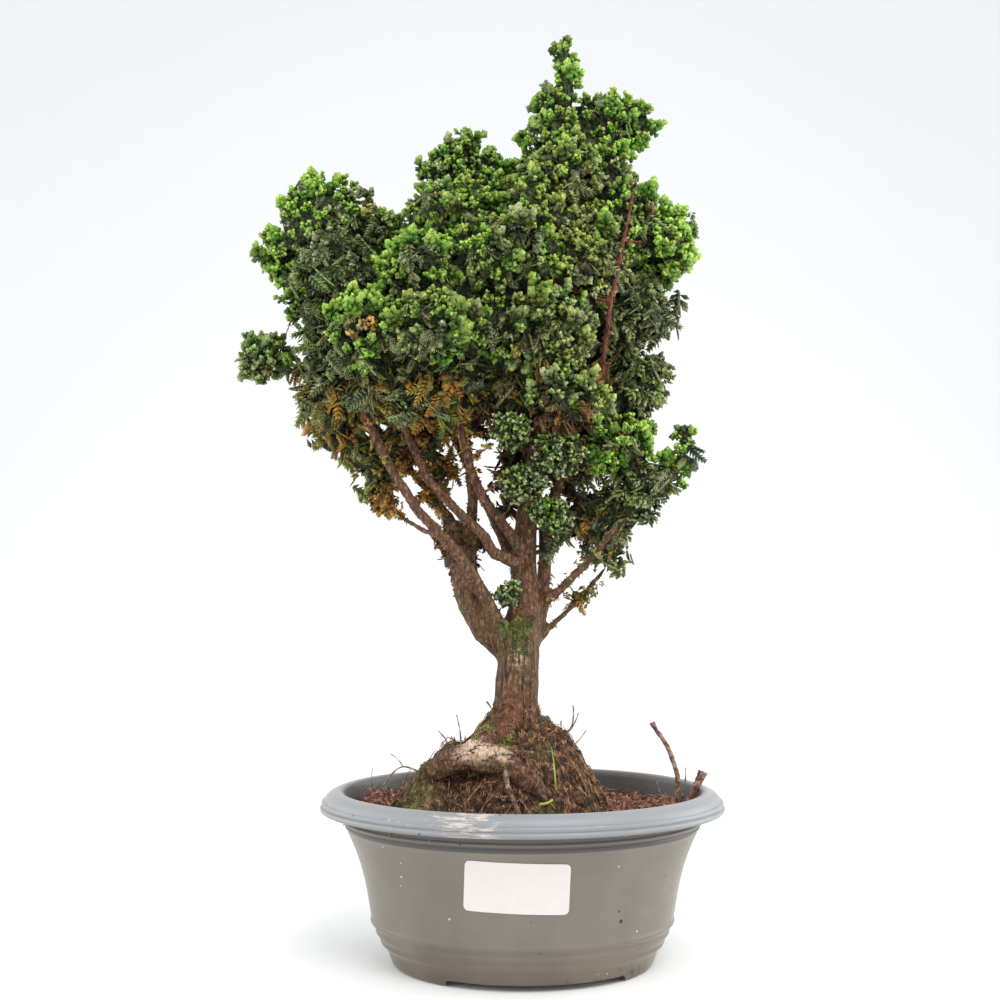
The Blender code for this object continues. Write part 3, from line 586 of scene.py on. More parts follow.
def heap_height(x, y):
    """Top of the root ball over a point, in millimetres from the pot's middle."""
    dx, dy = x - HEAP_MIDDLE[0], y - HEAP_MIDDLE[1]
    out = math.hypot(dx / (HEAP_LEFT if dx < 0 else HEAP_RIGHT), dy / HEAP_DEPTH)
    top = HEAP_SKIRT + HEAP_RISE * max(0.0, 1.0 - out) ** 0.82 if out < 1 else HEAP_SKIRT - 30.0 * (out - 1.0)
    clods = 2.4 * rough(x, y, 9.0, 5.2) + 2.2 * rough(x, y, 4.0, 2.9) + 1.6 * rough(x, y, 1.9, 8.8)
    hollow = 3.0 * near_to((x + 17.0, 14.0), (y + 43.0, 5.0))
    shoulder = 7.0 * near_to((x + 46.0, 11.0), (y + 33.0, 11.0))
    brow = 5.0 * near_to((x + 4.0, 16.0), (y + 36.0, 9.0))
    flank = 10.0 * near_to((x - 22.0, 15.0), (y + 7.0, 15.0))
    saddle = 7.0 * near_to((x + 26.0, 8.0))
    return top + clods * min(1.0, 0.4 + out) - hollow - saddle + shoulder + brow + flank


def heap_spot(draw):
    """Random spot on the root ball, in millimetres from the pot's middle."""
    angle, out = draw.uniform(0.0, math.tau), draw.random() ** 0.5
    width = HEAP_LEFT if math.cos(angle) < 0 else HEAP_RIGHT
    return HEAP_MIDDLE[0] + width * out * math.cos(angle), HEAP_MIDDLE[1] + HEAP_DEPTH * out * math.sin(angle)


heap = mound("root_ball_body", (-11.5, -4.0), 58.0, 47.5, 1.25, heap_height, 9.0)
draw = random.Random("heap")
parts = strewn_threads(draw, 1500, heap_spot, heap_height, 8.0, 0.24, 3.2)
parts += crumbs(draw, 240, heap_spot, heap_height, 0.9)
matted = bulk_mesh("root_ball_fibres", *gather(parts))

# Old peat bound by roots: browner and paler than the new soil, greened by algae and thin moss.
old_peat, shader = new_material("old_root_bound_soil", 0.95)
place = add(old_peat, "TexCoord").outputs["Object"]
clods = mottle(old_peat, place, 230.0, 6.0, 0.65)
ground = ramp(old_peat, clods, ((0.36, "#0F0905"), (0.47, "#2F1D11"), (0.55, "#5C3F2A"), (0.66, "#9A7856")))
damp = mottle(old_peat, place, 55.0, 4.0)
green = ramp(old_peat, damp, ((0.48, "#000000"), (0.62, "#FFFFFF")))
share = calc(old_peat, "MULTIPLY", green, 0.55)
grown_over = blend(old_peat, share, ground, linear("#4A4D20"))
for middle, reach in (((-0.0300, -0.030, 0.090), 0.018), ((0.0120, -0.036, 0.118), 0.016)):
    away = away_from(old_peat, place, middle)
    near = ranged(old_peat, away, reach, 0.0, 0.0, 0.9)
    tinted = calc(old_peat, "MULTIPLY", near, clods)
    grown_over = blend(old_peat, tinted, grown_over, linear("#8A9440"))
join_up(old_peat, grown_over, shader.inputs["Base Color"])
grit = mottle(old_peat, place, 650.0, 5.0)
emboss(old_peat, shader, grit, 0.9, 0.0012)
settle(heap, "root_ball_body", old_peat, "heap", "root_ball")
# The matted roots of the old ball are darker and browner than the fresh litter
matting, shader = new_material("matted_old_roots", 0.9)
place = add(matting, "TexCoord").outputs["Object"]
shade_of = mottle(matting, place, 260.0, 3.0)
join_up(matting, ramp(matting, shade_of, ((0.38, "#2E1C10"), (0.50, "#704A30"), (0.60, "#B48A62"))),
        shader.inputs["Base Color"])
settle(matted, "root_ball_fibres", matting, "heap")

# Wood: trunk, fork, limbs, twigs and surface roots, one grown piece. The bark of a young hinoki is thin,
# fibrous and pinkish-brown, cracked lengthwise on the trunk, and every limb bristles with dead twig stubs.
BARK_VOXEL = 0.00115
BARK_FACES_KEPT = 0.48
deselect()
wood = bpy.data.objects.new("wood_copy", nodes["wood"].data.copy())
bpy.context.scene.collection.objects.link(wood)
select_only(wood)
bpy.ops.object.mode_set(mode="EDIT")
bpy.ops.mesh.select_all(action="SELECT")
bpy.ops.mesh.remove_doubles(threshold=1e-6)
bpy.ops.object.mode_set(mode="OBJECT")
reshape(wood, "REMESH", mode="VOXEL", voxel_size=BARK_VOXEL)
reshape(wood, "SMOOTH", factor=0.6, iterations=6)


def patchy(x, y, z, broad, fine, share):
    """Noise over a point in millimetres: broad patches, and finer ones with a share of their strength."""
    spot = Vector((x, y, z))
    return noise.noise(spot / broad) + share * noise.noise(spot / fine)


def bark_relief(spot):
    """How far the bark stands out at a point, in millimetres: long fissures on the trunk, scurf above."""
    x, y, z = (value / MM for value in spot)
    around = math.atan2(y + 4.0, x - pot_x / MM + 3.0)
    ridges = noise.noise(Vector((3.4 * around, 0.0, z / 26.0)))
    ridges += 0.6 * noise.noise(Vector((9.0 * around, 1.0, z / 9.0)))
    scurf = noise.noise(Vector((x / 2.4, y / 2.4, z / 3.2))) + 0.6 * noise.noise(Vector((x, y, z)) / 1.2)
    trunk = max(0.0, min(1.0, (190.0 - z) / 40.0))
    roots = max(0.0, min(1.0, (126.0 - z) / 8.0))
    burls = patchy(x, y, z, 9.0, 4.0, 0.6)
    return trunk * (ridges - 0.9) + (0.45 + 0.2 * trunk) * scurf + 2.2 * roots * burls + 0.1


reshape(wood, "DECIMATE", ratio=BARK_FACES_KEPT)
normals = np.zeros(len(wood.data.vertices) * 3)
wood.data.vertices.foreach_get("normal", normals)
for vert, normal in zip(wood.data.vertices, normals.reshape(-1, 3)):
    vert.co += Vector(normal) * (bark_relief(vert.co) * MM)
bpy.ops.object.shade_smooth()


def scatter(obj, count, keep, seed):
    """Random spots on a mesh, evenly by area, with their normals, where keep(spot, normal) holds."""
    mesh = obj.data
    mesh.calc_loop_triangles()
    corners = np.zeros(len(mesh.loop_triangles) * 3, np.int32)
    mesh.loop_triangles.foreach_get("vertices", corners)
    co = np.zeros(len(mesh.vertices) * 3)
    mesh.vertices.foreach_get("co", co)
    # Blender may list the faces in another order each run, so the draw goes by where they lie
    co, corners = co.reshape(-1, 3), corners.reshape(-1, 3)
    places = np.lexsort(co.T)
    corners = np.argsort(places)[corners]
    turned = (corners.argmin(axis=1)[:, None] + np.arange(3)) % 3
    corners = np.take_along_axis(corners, turned, axis=1)
    corners = corners[np.lexsort(corners.T[::-1])]
    a, b, c = co[places][corners].transpose(1, 0, 2)
    cross = np.cross(b - a, c - a)
    area = np.linalg.norm(cross, axis=1)
    dice = np.random.default_rng(seed)
    chosen = dice.choice(len(a), size=count, p=area / area.sum())
    u, v = dice.random((2, count))
    over = u + v > 1
    u[over], v[over] = 1 - u[over], 1 - v[over]
    spots = a[chosen] + u[:, None] * (b - a)[chosen] + v[:, None] * (c - a)[chosen]
    facing = cross[chosen] / (area[chosen, None] + 1e-20)
    return [(Vector(spot), Vector(normal)) for spot, normal in zip(spots, facing) if keep(spot / MM, normal)]


def spikes(spots, draw, length, thick, count, spread, lean):
    """Short pointed blades or stubs in clusters on spots, leaning upwards, in metres."""
    parts = []
    for spot, normal in spots:
        for _ in range(count):
            bent = Vector((draw.gauss(0, spread), draw.gauss(0, spread), lean + draw.gauss(0, spread)))
            way = (normal + bent).normalized()
            side = way.orthogonal().normalized()
            other = way.cross(side)
            size, wide = length * draw.uniform(0.5, 1.2) * MM, thick * draw.uniform(0.7, 1.3) * MM
            foot = spot - way * 0.3 * MM
            ring = [foot + wide * (math.cos(a) * side + math.sin(a) * other) for a in (0.0, 2.09, 4.19)]
            tip = spot + way * size
            parts.append((np.array([*ring, tip]), np.array(((0, 1, 3), (1, 2, 3), (2, 0, 3), (0, 2, 1)))))
    return parts


def on_limb(spot, normal):
    """Whether a dead stub stands at a spot: in patches on the limbs, hardly any on the fork itself."""
    x, y, z = spot
    patch = patchy(x, y, z, 13.0, 5.0, 0.5)
    return (165.0 < z < 300.0 or (x > 58.0 and z < 392.0)) and patch > max(0.0, (235.0 - z) / 120.0)


draw = random.Random("stubs")
stub_spots = scatter(wood, 9000, on_limb, 5)
stubs = bulk_mesh("dead_twig_stubs", *gather(spikes(stub_spots, draw, 1.7, 0.6, 1, 0.45, 0.2)))

# Thin cypress bark: pinkish-brown with a fine lengthwise grain, darker in its cracks, greened with algae
# on the lower trunk, worn pale on the front root, and red-brown on the young stems inside the crown.
bark, shader = new_material("hinoki_cypress_bark", 0.82)
place = add(bark, "TexCoord").outputs["Object"]
split = add(bark, "SeparateXYZ", None, Vector=place)
drawn_out = add(bark, "Mapping", None, Vector=place, Scale=(1.0, 1.0, 0.38)).outputs[0]
grain = mottle(bark, drawn_out, 760.0, 6.0, 0.7)
body = ramp(bark, grain, ((0.32, "#22130A"), (0.44, "#4A2F1C"), (0.54, "#68452C"), (0.68, "#A07C5C")))
young = ramp(bark, grain, ((0.34, "#35130B"), (0.50, "#6B301C"), (0.68, "#96543A")))
rise = ranged(bark, split.outputs["Z"], 0.262, 0.33)
aged = blend(bark, rise, body, young)
damp = mottle(bark, place, 38.0, 4.0)
low = ranged(bark, split.outputs["Z"], 0.245, 0.17)
algae = calc(bark, "MULTIPLY", ramp(bark, damp, ((0.42, "#000000"), (0.62, "#FFFFFF"))), low)
above_root = ranged(bark, split.outputs["Z"], 0.136, 0.166)
thin = calc(bark, "MULTIPLY", algae, above_root)
thin = calc(bark, "MULTIPLY", thin, 0.5)
greened = blend(bark, thin, aged, linear("#50522A"))
# Patches where the tint shows through a broken edge: a red-brown base, a green film in the crotch of the
# fork, and pale and grey flakes below it. Middle, reach, colour, fineness and strength
for middle, reach, tint, fineness, strength in (
        ((0.0190, -0.026, 0.129), 0.021, "#8E4E32", 340.0, 0.40),
        ((0.0215, -0.020, 0.1720), 0.014, "#5F7A2C", 620.0, 0.75),
        ((0.0240, -0.020, 0.1580), 0.011, "#D3AE95", 520.0, 0.85),
        ((0.0275, -0.019, 0.1520), 0.007, "#4A4E44", 420.0, 0.75)):
    torn = mottle(bark, place, fineness, 4.0, 0.7)
    away = away_from(bark, place, middle)
    near = ranged(bark, away, reach, 0.0, 0.0, 0.6)
    near = calc(bark, "ADD", near, torn)
    tinted = ranged(bark, near, 0.66, 0.86, 0.0, strength)
    greened = blend(bark, tinted, greened, linear(tint))
fuzzy = mottle(bark, place, 300.0, 4.0)
to_hump = away_from(bark, place, (pot_x - 0.020, -0.046, 0.113))
lies = ranged(bark, to_hump, 0.034, 0.024)
worn = ranged(bark, to_hump, 0.019, 0.006)
worn = calc(bark, "ADD", worn, fuzzy)
worn = ranged(bark, worn, 0.62, 1.10, 0.0, 0.9)
upper = ranged(bark, split.outputs["Z"], 0.1055, 0.1125)
worn = calc(bark, "MULTIPLY", worn, upper)
bleached = ramp(bark, grain, ((0.34, "#7A5A45"), (0.47, "#C4A084"), (0.62, "#EAD2BE")))
rubbed = blend(bark, worn, greened, bleached)
# Cracks run along the grain: up the trunk, and sideways over the front root
upright = add(bark, "Mapping", None, Vector=place, Scale=(1.0, 1.0, 0.13)).outputs[0]
lying = add(bark, "Mapping", None, Vector=place, Scale=(0.25, 1.0, 1.0)).outputs[0]
along = add(bark, "Mix", {"data_type": "VECTOR"}, i0=lies, i4=upright, i5=lying).outputs[1]
waves = mottle(bark, along, 150.0, 2.5, 0.6)
offset = calc(bark, "SUBTRACT", waves, 0.5)
apart = add(bark, "Math", {"operation": "ABSOLUTE"}, i0=offset).outputs[0]
crack = ranged(bark, apart, 0.022, 0.008)
stout = ranged(bark, split.outputs["Z"], 0.176, 0.160)
crack = calc(bark, "MULTIPLY", crack, stout)
deep = calc(bark, "MULTIPLY", crack, 0.85)
final = blend(bark, deep, rubbed, linear("#1D120C"))
join_up(bark, final, shader.inputs["Base Color"])
sunk = calc(bark, "SUBTRACT", grain, crack)
emboss(bark, shader, sunk, 0.9, 0.0012)
settle(wood, "trunk_and_limbs", bark, "bark", "wood")
settle(stubs, "dead_twig_stubs", bark, "bark")

# Moss: cushions of short shoots on the damp side of the root ball, on its brow and on the fork.
# Each shoot is a narrow upright blade about 2 mm long.
def mossy(spot, normal):
    """Whether moss grows at a spot, in millimetres in the frame."""
    x, y, z = spot[0] - pot_x / MM, spot[1], spot[2]
    if normal[2] < -0.2:
        return False
    patch = patchy(x, y, z, 11.0, 4.0, 0.5)
    fork = near_to((x + 2.0, 8.0), (y + 15.0, 9.0), (z - 172.0, 9.0))
    left = near_to((x + 56.0, 10.0), (y + 22.0, 16.0))
    brow = near_to((x + 18.0, 6.5), (z - 122.0, 4.5)) + near_to((x + 7.0, 6.5), (z - 116.0, 4.5))
    under = near_to((x + 18.0, 16.0), (z - 106.0, 5.0))
    return patch + 1.9 * fork + 1.9 * left + 1.4 * brow + 0.9 * under > (0.80 if z < 150 else 0.7)


draw = random.Random("moss")
moss_spots = scatter(heap, 8000, mossy, 21) + [
    spot for spot in scatter(wood, 36000, mossy, 22) if spot[0].z < 0.185]
moss = bulk_mesh("moss_shoots", *gather(spikes(moss_spots, draw, 1.8, 0.36, 4, 0.6, 0.5)))
cushion, shader = new_material("living_moss", 0.8)
place = add(cushion, "TexCoord").outputs["Object"]
tone = mottle(cushion, place, 140.0, 3.0)
join_up(cushion, ramp(cushion, tone, ((0.36, "#343A16"), (0.52, "#5A6128"), (0.66, "#8E9642"))),
        shader.inputs["Base Color"])
settle(moss, "moss_shoots", cushion, "heap")

# Frayed bark: short red-brown fibres that stand out of the foot of the trunk, where it stays wet.
def frayed(spot, normal):
    """Whether bark has frayed at a spot, in millimetres in the frame."""
    x, y, z = spot[0] - pot_x / MM, spot[1], spot[2]
    foot = near_to((z - 124.0, 8.0), (x + 4.0, 24.0))
    return noise.noise(Vector((x, y, z)) / 6.0) + foot > 0.55


draw = random.Random("frayed")
fray_spots = scatter(wood, 30000, frayed, 24)
frays = bulk_mesh("frayed_bark_fibres", *gather(spikes(fray_spots, draw, 2.6, 0.26, 1, 0.9, -0.2)))
settle(frays, "frayed_bark_fibres", matting, "bark")

# Loose sticks, the grass blade and the wiry rootlets: dead twigs stood in the soil as they fell, one young
# blade of grass, and roots of the heap that stick out into the air.
# Routes of x, y, z and radius in millimetres from the pot's middle
STICK_ROUTES = {
    "dead_stick_bent": ((80, 3, 66, 1.3), (80.6, 3, 76, 1.35), (81.2, 3, 86, 1.5), (82, 2, 93, 1.2),
                        (80, 4, 100, 1.3),
                        (78, 6, 107, 1.2), (75.4, 7, 111.5, 1.1), (73, 8, 115, 1.1), (70.5, 9.4, 118.6, 1.2),
                        (69, 10, 121.4, 1.5)),
    "cut_stub_leaning": ((83, 4, 68, 2.2), (86, 3.6, 77, 2.0), (89.6, 3, 86, 2.1), (92.5, 2.4, 91.5, 2.0),
                         (95, 2, 96.4, 2.6)),
    "grass_blade_young": ((16, -36, 92, 0.7), (15.5, -37, 100, 0.9), (15, -37.5, 107, 0.7),
                          (14.2, -38, 112, 0.5),
                          (13.8, -38, 115, 0.15)),
    "seed_leaf": ((6, -43, 86, 0.4), (8.6, -44, 88.4, 0.9), (11.5, -44, 88, 0.9), (14, -43, 90, 0.3)),
}
ROOTLET_SLIMMING, BLADE_SLIMMING = 0.66, 0.6
ROOTLET_ROUTES = (
    ((-37, -14, 102, 0.9), (-38, -17, 114, 0.6), (-40.4, -17.6, 117.6, 0.5), (-43, -18, 120.4, 0.4)),
    ((-31, -7, 106, 0.9), (-32, -10, 117, 0.6), (-32.6, -10, 122, 0.5), (-34, -10, 127.4, 0.4)),
    ((20, 4, 106, 1), (21, 4, 115, 0.8), (26, 4, 118.4, 0.9), (27.4, 4, 125, 0.7), (27, 4, 131, 0.5)),
    ((21, 4, 114, 0.7), (20.4, 4, 120, 0.6), (20.6, 4, 123, 0.4)),
    ((26, 4, 118.4, 0.6), (29, 4, 124, 0.5), (29.6, 4, 127, 0.4)),
    ((25, 10, 98, 0.9), (26, 9, 108, 0.6), (30.6, 8.4, 112.4, 0.5), (34, 8, 117.4, 0.4)),
    ((-44, -28, 96, 0.9), (-56, -32, 105, 0.8), (-64, -34, 104, 0.7), (-69, -35, 96, 0.6)),
    ((-60, -33, 104.6, 0.6), (-62, -34, 109, 0.4), (-66, -35, 111, 0.3)),
    ((-9, -42, 106, 2.0), (-8.6, -45, 101, 2.1), (-7.4, -47.6, 95, 1.7), (-4, -48.6, 89, 1.6),
     (-1, -51, 81, 1.5)),
    ((-28, -44, 82, 1.0), (-29.6, -46, 87, 0.9), (-26, -46, 92, 0.7), (-23, -46, 95.6, 0.5)),
    ((-29.6, -46, 87, 0.7), (-33, -46, 88.6, 0.5)),
    ((-6, -47, 93.4, 0.9), (-10.6, -48, 91, 0.6), (-14, -48, 92.4, 0.4)),
    ((-79, 18, 80, 0.5), (-81, 18, 88, 0.4), (-80, 18, 96, 0.3)),
    ((-66, 14, 82, 0.6), (-63, 14, 91, 0.45), (-58.6, 14, 97, 0.3)),
    ((-50, 16, 84, 0.9), (-54, 14, 93, 0.7), (-49, 12, 99, 0.5), (-46, 12, 101, 0.35)),
    ((76, 6, 79, 0.8), (71.4, 7, 86, 0.6), (71, 7, 93, 0.4)),
    ((84, 8, 80, 0.8), (87.4, 8, 92, 0.5), (86.4, 8, 98, 0.35)),
    ((30, -26, 84, 0.9), (33, -27, 92, 0.7), (26, -27, 103, 0.6), (22, -24, 110, 0.5)),
)


def grown_tube(name, route, sides, wander, seed, slim=1.0):
    """Tube along a smooth route of x, y, z and radius, knotted a little, with closed ends."""
    curve = bpy.data.curves.new(name, "CURVE")
    curve.dimensions = "3D"
    curve.bevel_depth = 1.0
    curve.bevel_resolution = sides // 2 - 2
    curve.use_fill_caps = True
    curve.resolution_u = curve.render_resolution_u = 5
    spline = curve.splines.new("NURBS")
    spline.points.add(len(route) - 1)
    for point, (x, y, z, radius) in zip(spline.points, route):
        point.co = (pot_x + x * MM, y * MM, z * MM, 1.0)
        point.radius = radius * slim * MM
    spline.use_endpoint_u = True
    spline.order_u = 3
    obj = bpy.data.objects.new(name, curve)
    bpy.context.scene.collection.objects.link(obj)
    select_only(obj)
    bpy.ops.object.convert(target="MESH")
    obj = bpy.context.active_object
    bpy.ops.object.mode_set(mode="EDIT")
    bpy.ops.mesh.select_all(action="SELECT")
    bpy.ops.mesh.remove_doubles(threshold=1e-6)
    bpy.ops.mesh.normals_make_consistent(inside=False)
    bpy.ops.object.mode_set(mode="OBJECT")
    for vert in obj.data.vertices:
        vert.co += vert.normal * (wander * MM * noise.noise(vert.co / (2.2 * MM) + Vector((seed, 0, 0))))
    bpy.ops.object.shade_smooth()
    return obj


dead_wood, shader = new_material("weathered_dead_twig", 0.85)
place = add(dead_wood, "TexCoord").outputs["Object"]
weather = mottle(dead_wood, place, 520.0, 4.0)
join_up(dead_wood, ramp(dead_wood, weather, ((0.32, "#3D2B22"), (0.50, "#7C5D4B"), (0.68, "#A98D78"))),
        shader.inputs["Base Color"])
emboss(dead_wood, shader, weather, 0.6, 0.0006)
grass, shader = new_material("young_grass", 0.5)
place = add(grass, "TexCoord").outputs["Object"]
tone = mottle(grass, place, 120.0, 2.0)
join_up(grass, ramp(grass, tone, ((0.35, "#8A9638"), (0.65, "#BCC260"))), shader.inputs["Base Color"])

stick = grown_tube("dead_stick_bent", STICK_ROUTES["dead_stick_bent"], 10, 0.45, 1.0)
settle(stick, "dead_stick_bent", dead_wood, "stick", "dead_stick")
stub = grown_tube("cut_stub_leaning", STICK_ROUTES["cut_stub_leaning"], 12, 0.9, 2.0)
settle(stub, "cut_stub_leaning", dead_wood, "stick", "cut_stub")
blade = grown_tube("grass_blade_young", STICK_ROUTES["grass_blade_young"], 6, 0.0, 3.0, BLADE_SLIMMING)
grown_tube("seed_leaf", STICK_ROUTES["seed_leaf"], 6, 0.5, 9.0)
blade.select_set(True)
bpy.context.view_layer.objects.active = blade
bpy.ops.object.join()
settle(blade, "grass_blade_young", grass, "grass", "grass_blade")
rootlets = [grown_tube("rootlet", route, 6, 0.25, 4.0 + i, ROOTLET_SLIMMING)
            for i, route in enumerate(ROOTLET_ROUTES)]
select_only(rootlets[0])
for obj in rootlets:
    obj.select_set(True)
bpy.ops.object.join()
settle(rootlets[0], "loose_rootlets", dead_wood, "heap")

# Foliage: sprays of scale-leaved shoots. A vigorous shoot forks into stubby rounded fingers, and several
# make a domed tuft; a shaded one is a flat frond with combed edges; a dead one has turned bronze.
# Fingers of a forked shoot: height of the foot along its stem, tilt in degrees and size
FINGERS = ((2.2, 3.0, 1.0), (1.7, 27.0, 0.98), (1.6, -29.0, 0.96), (1.0, 48.0, 0.9), (0.9, -50.0, 0.92),
           (0.3, 66.0, 0.8), (0.2, -68.0, 0.82))
STOUT = (3.3, 2.35)  # length and width of a vigorous finger
SLIM = (4.0, 1.7)  # and of a shaded one
FINGER_BELLY = 0.66  # where along it a finger is widest
FROND_LENGTH, FROND_REACH, FROND_TEETH = 9.6, 2.6, 7
FRONT_GAP, REAR_GAP = 5.95, 10.8  # between the middles of neighbouring tufts
FRONT_SCALE, REAR_SCALE = 0.97, 1.75
REAR_FACING = 0.35  # a normal that points further back than this belongs to the rear
SHOOTS_IN_TUFT = 4


def unit(pieces):
    """Modelled pieces as one form: vertices in millimetres, triangles, and place along it from 0 to 1."""
    select_only(pieces[0])
    for piece in pieces:
        piece.select_set(True)
    bpy.ops.object.transform_apply(location=True, rotation=True, scale=True)
    bpy.ops.object.join()
    form = bpy.context.active_object
    form.data.calc_loop_triangles()
    verts = np.array([vert.co for vert in form.data.vertices])
    faces = np.array([triangle.vertices for triangle in form.data.loop_triangles])
    bpy.data.objects.remove(form)
    return verts, faces, np.clip(verts[:, 2] / verts[:, 2].max(), 0.0, 1.0)


def finger(foot, tilt, length, width, turn):
    """One blunt finger on a shoot's stem, three-sided and widest near its tip."""
    bpy.ops.mesh.primitive_cone_add(vertices=3, radius1=0.58, radius2=0.0, depth=1.0 - FINGER_BELLY,
                                    end_fill_type="TRIFAN", location=(0.0, 0.0, 0.5 + 0.5 * FINGER_BELLY))
    obj = bpy.context.active_object
    bpy.ops.object.transform_apply(location=True)
    for vert in obj.data.vertices:
        if vert.co.z < 0.9 and math.hypot(vert.co.x, vert.co.y) < 0.1:
            vert.co.z = 0.0
    obj.scale = (width, width, length)
    obj.rotation_euler = (0.0, math.radians(tilt), turn)
    obj.location = (0.0, 0.0, foot)
    return obj


def forked_shoot(seed, length, width, spread):
    """A shoot of scale leaves that forks into fingers, nearly in one plane."""
    draw = random.Random(seed)
    pieces = []
    for foot, tilt, size in FINGERS:
        size *= draw.uniform(0.86, 1.12)
        pieces.append(finger(foot * length / STOUT[0] + draw.uniform(-0.3, 0.3), tilt + draw.gauss(0.0, 8.0),
                             length * size, width * size, draw.gauss(0.0, spread)))
    return unit(pieces)


def combed_frond():
    """A flat frond: a slim rib with a blunt tooth on each side at every step, arched a little."""
    pieces = []
    for step in range(FROND_TEETH):
        share = (step + 0.5) / FROND_TEETH
        reach = FROND_REACH * (0.45 + 0.55 * math.sin(math.pi * min(1.0, 0.2 + share * 0.74)))
        for hand in (-1, 1):
            bpy.ops.mesh.primitive_cone_add(
                vertices=3, radius1=0.5, radius2=0.0, depth=1.0, location=(0.0, 0.0, 0.5))
            tooth = bpy.context.active_object
            bpy.ops.object.transform_apply(location=True)
            tooth.scale = (1.5, 1.1, reach)
            tooth.rotation_euler = (0.0, hand * math.radians(66.0 - 30.0 * share), 0.0)
            tooth.location = (0.0, 0.0, FROND_LENGTH * share * 0.88)
            pieces.append(tooth)
    pieces.append(finger(0.0, 0.0, FROND_LENGTH, 1.2, 0.0))
    verts, faces, along = unit(pieces)
    verts[:, 1] -= 0.014 * verts[:, 2] ** 2 - 0.08 * verts[:, 0] ** 2
    out = np.abs(verts[:, 0]) / np.abs(verts[:, 0]).max()
    return verts, faces, np.clip(0.2 + 0.75 * out + 0.25 * along, 0.0, 1.0)


deselect()
FORMS = ([forked_shoot(seed, *STOUT, 0.55) for seed in range(3)]
         + [forked_shoot(seed, *SLIM, 0.35) for seed in range(3, 5)] + [combed_frond()])
STOUT_SHOOTS, SLIM_SHOOTS, FRONDS = (0, 1, 2), (3, 4), (5,)

# Look of each spray: freshness of its green from 0, blue-green and shaded, to 1, yellow-green and new,
# how dry it is from 0 to 1, and the share of slim shoots among its fronds; sprays not named here take
# their look's values
LOOKS = {"bright": (0.60, 0.05), "olive": (0.36, 0.16, 0.5), "bronze": (0.60, 0.85, 0.4)}
TONES = {
    "spire_tip": (0.74, 0.0), "spire": (0.62, 0.02), "right_top": (0.76, 0.02), "crown_top": (0.58, 0.10),
    "right_shoulder": (0.58, 0.05), "left_centre_top": (0.60, 0.02), "left_centre": (0.64, 0.08),
    "left_top": (1.0, 0.0), "left_shoulder": (0.56, 0.05), "far_left_upper": (0.84, 0.02),
    "far_left_middle": (0.58, 0.06), "far_left_low": (0.46, 0.0), "left_middle": (0.34, 0.05, 0.5),
    "left_bright": (0.84, 0.0), "centre_left": (0.80, 0.02), "centre_left_low": (0.62, 0.04),
    "centre": (0.60, 0.08), "centre_right": (0.54, 0.18), "right_clump": (0.86, 0.04),
    "right_middle": (0.32, 0.10, 0.7), "right_lower": (0.36, 0.10, 0.8), "centre_low": (0.50, 0.12),
    "centre_lower": (0.46, 0.10), "centre_inner": (0.26, 0.25, 0.4), "left_hanging": (0.34, 0.08, 0.15),
    "right_low": (0.84, 0.04), "knob_upper": (0.50, 0.04), "knob_middle": (0.40, 0.06),
    "knob_lower": (0.42, 0.02), "knob_bottom": (0.46, 0.02), "branch_tip": (0.78, 0.02),
    "trunk_sprig": (0.44, 0.0), "right_bottom": (0.36, 0.12, 0.8), "lower_left": (0.38, 0.14, 0.3),
    "centre_hanging": (0.38, 0.06, 0.1), "dry_sprig": (0.86, 0.62, 0.7), "low_sprig": (0.86, 0.62, 0.7),
}
BRONZE = ("inner_bronze", "lower_bronze", "centre_bronze", "dry_sprig", "low_sprig")
OLIVE = ("left_middle", "right_middle", "right_lower", "centre_inner", "left_hanging", "lower_left",
         "centre_hanging", "right_inner", "right_bottom", "right_hanging", "rear_centre", "rear_right_low",
         "rear_left_low", "rear_low")
# Tight balls of foliage on short stems: planted on their own solids, not on the grown-together crown
KNOBS = ("spray_knob_upper", "spray_knob_middle", "spray_knob_lower", "spray_knob_bottom",
         "spray_trunk_sprig")
KNOB_GAP, KNOB_SCALE = 3.6, 0.72
# Change to the width of a spray's own mass before its clefts are cut, in millimetres: less is slimmer
TRIMMED = {
    "spire": -5.5, "spire_tip": -4.0, "right_top": -1.5, "right_shoulder": -5.5, "right_clump": -3.5,
    "left_centre_top": -3.0, "left_shoulder": -8.0, "left_centre": -3.0, "left_top": -3.5,
    "left_hanging": -4.5, "branch_tip": -2.5, "far_left_upper": -2.5, "far_left_middle": -1.5,
    "far_left_low": -3.0, "right_bottom": -4.0, "right_low": -3.5, "right_lower": -4.0,
    "right_middle": -3.0, "right_hanging": -4.0, "centre_lower": -3.5, "centre_low": -1.0,
    "centre_hanging": 2.0, "rear_left": -8.0, "rear_far_left": -8.0,
}
# Dead ends of foliage, dried pinkish-tan: across and up from the pot's middle, and reach, in millimetres
DRIED = ((-83.0, 322.0, 8.0), (-79.0, 393.0, 6.0), (67.0, 393.0, 6.0))
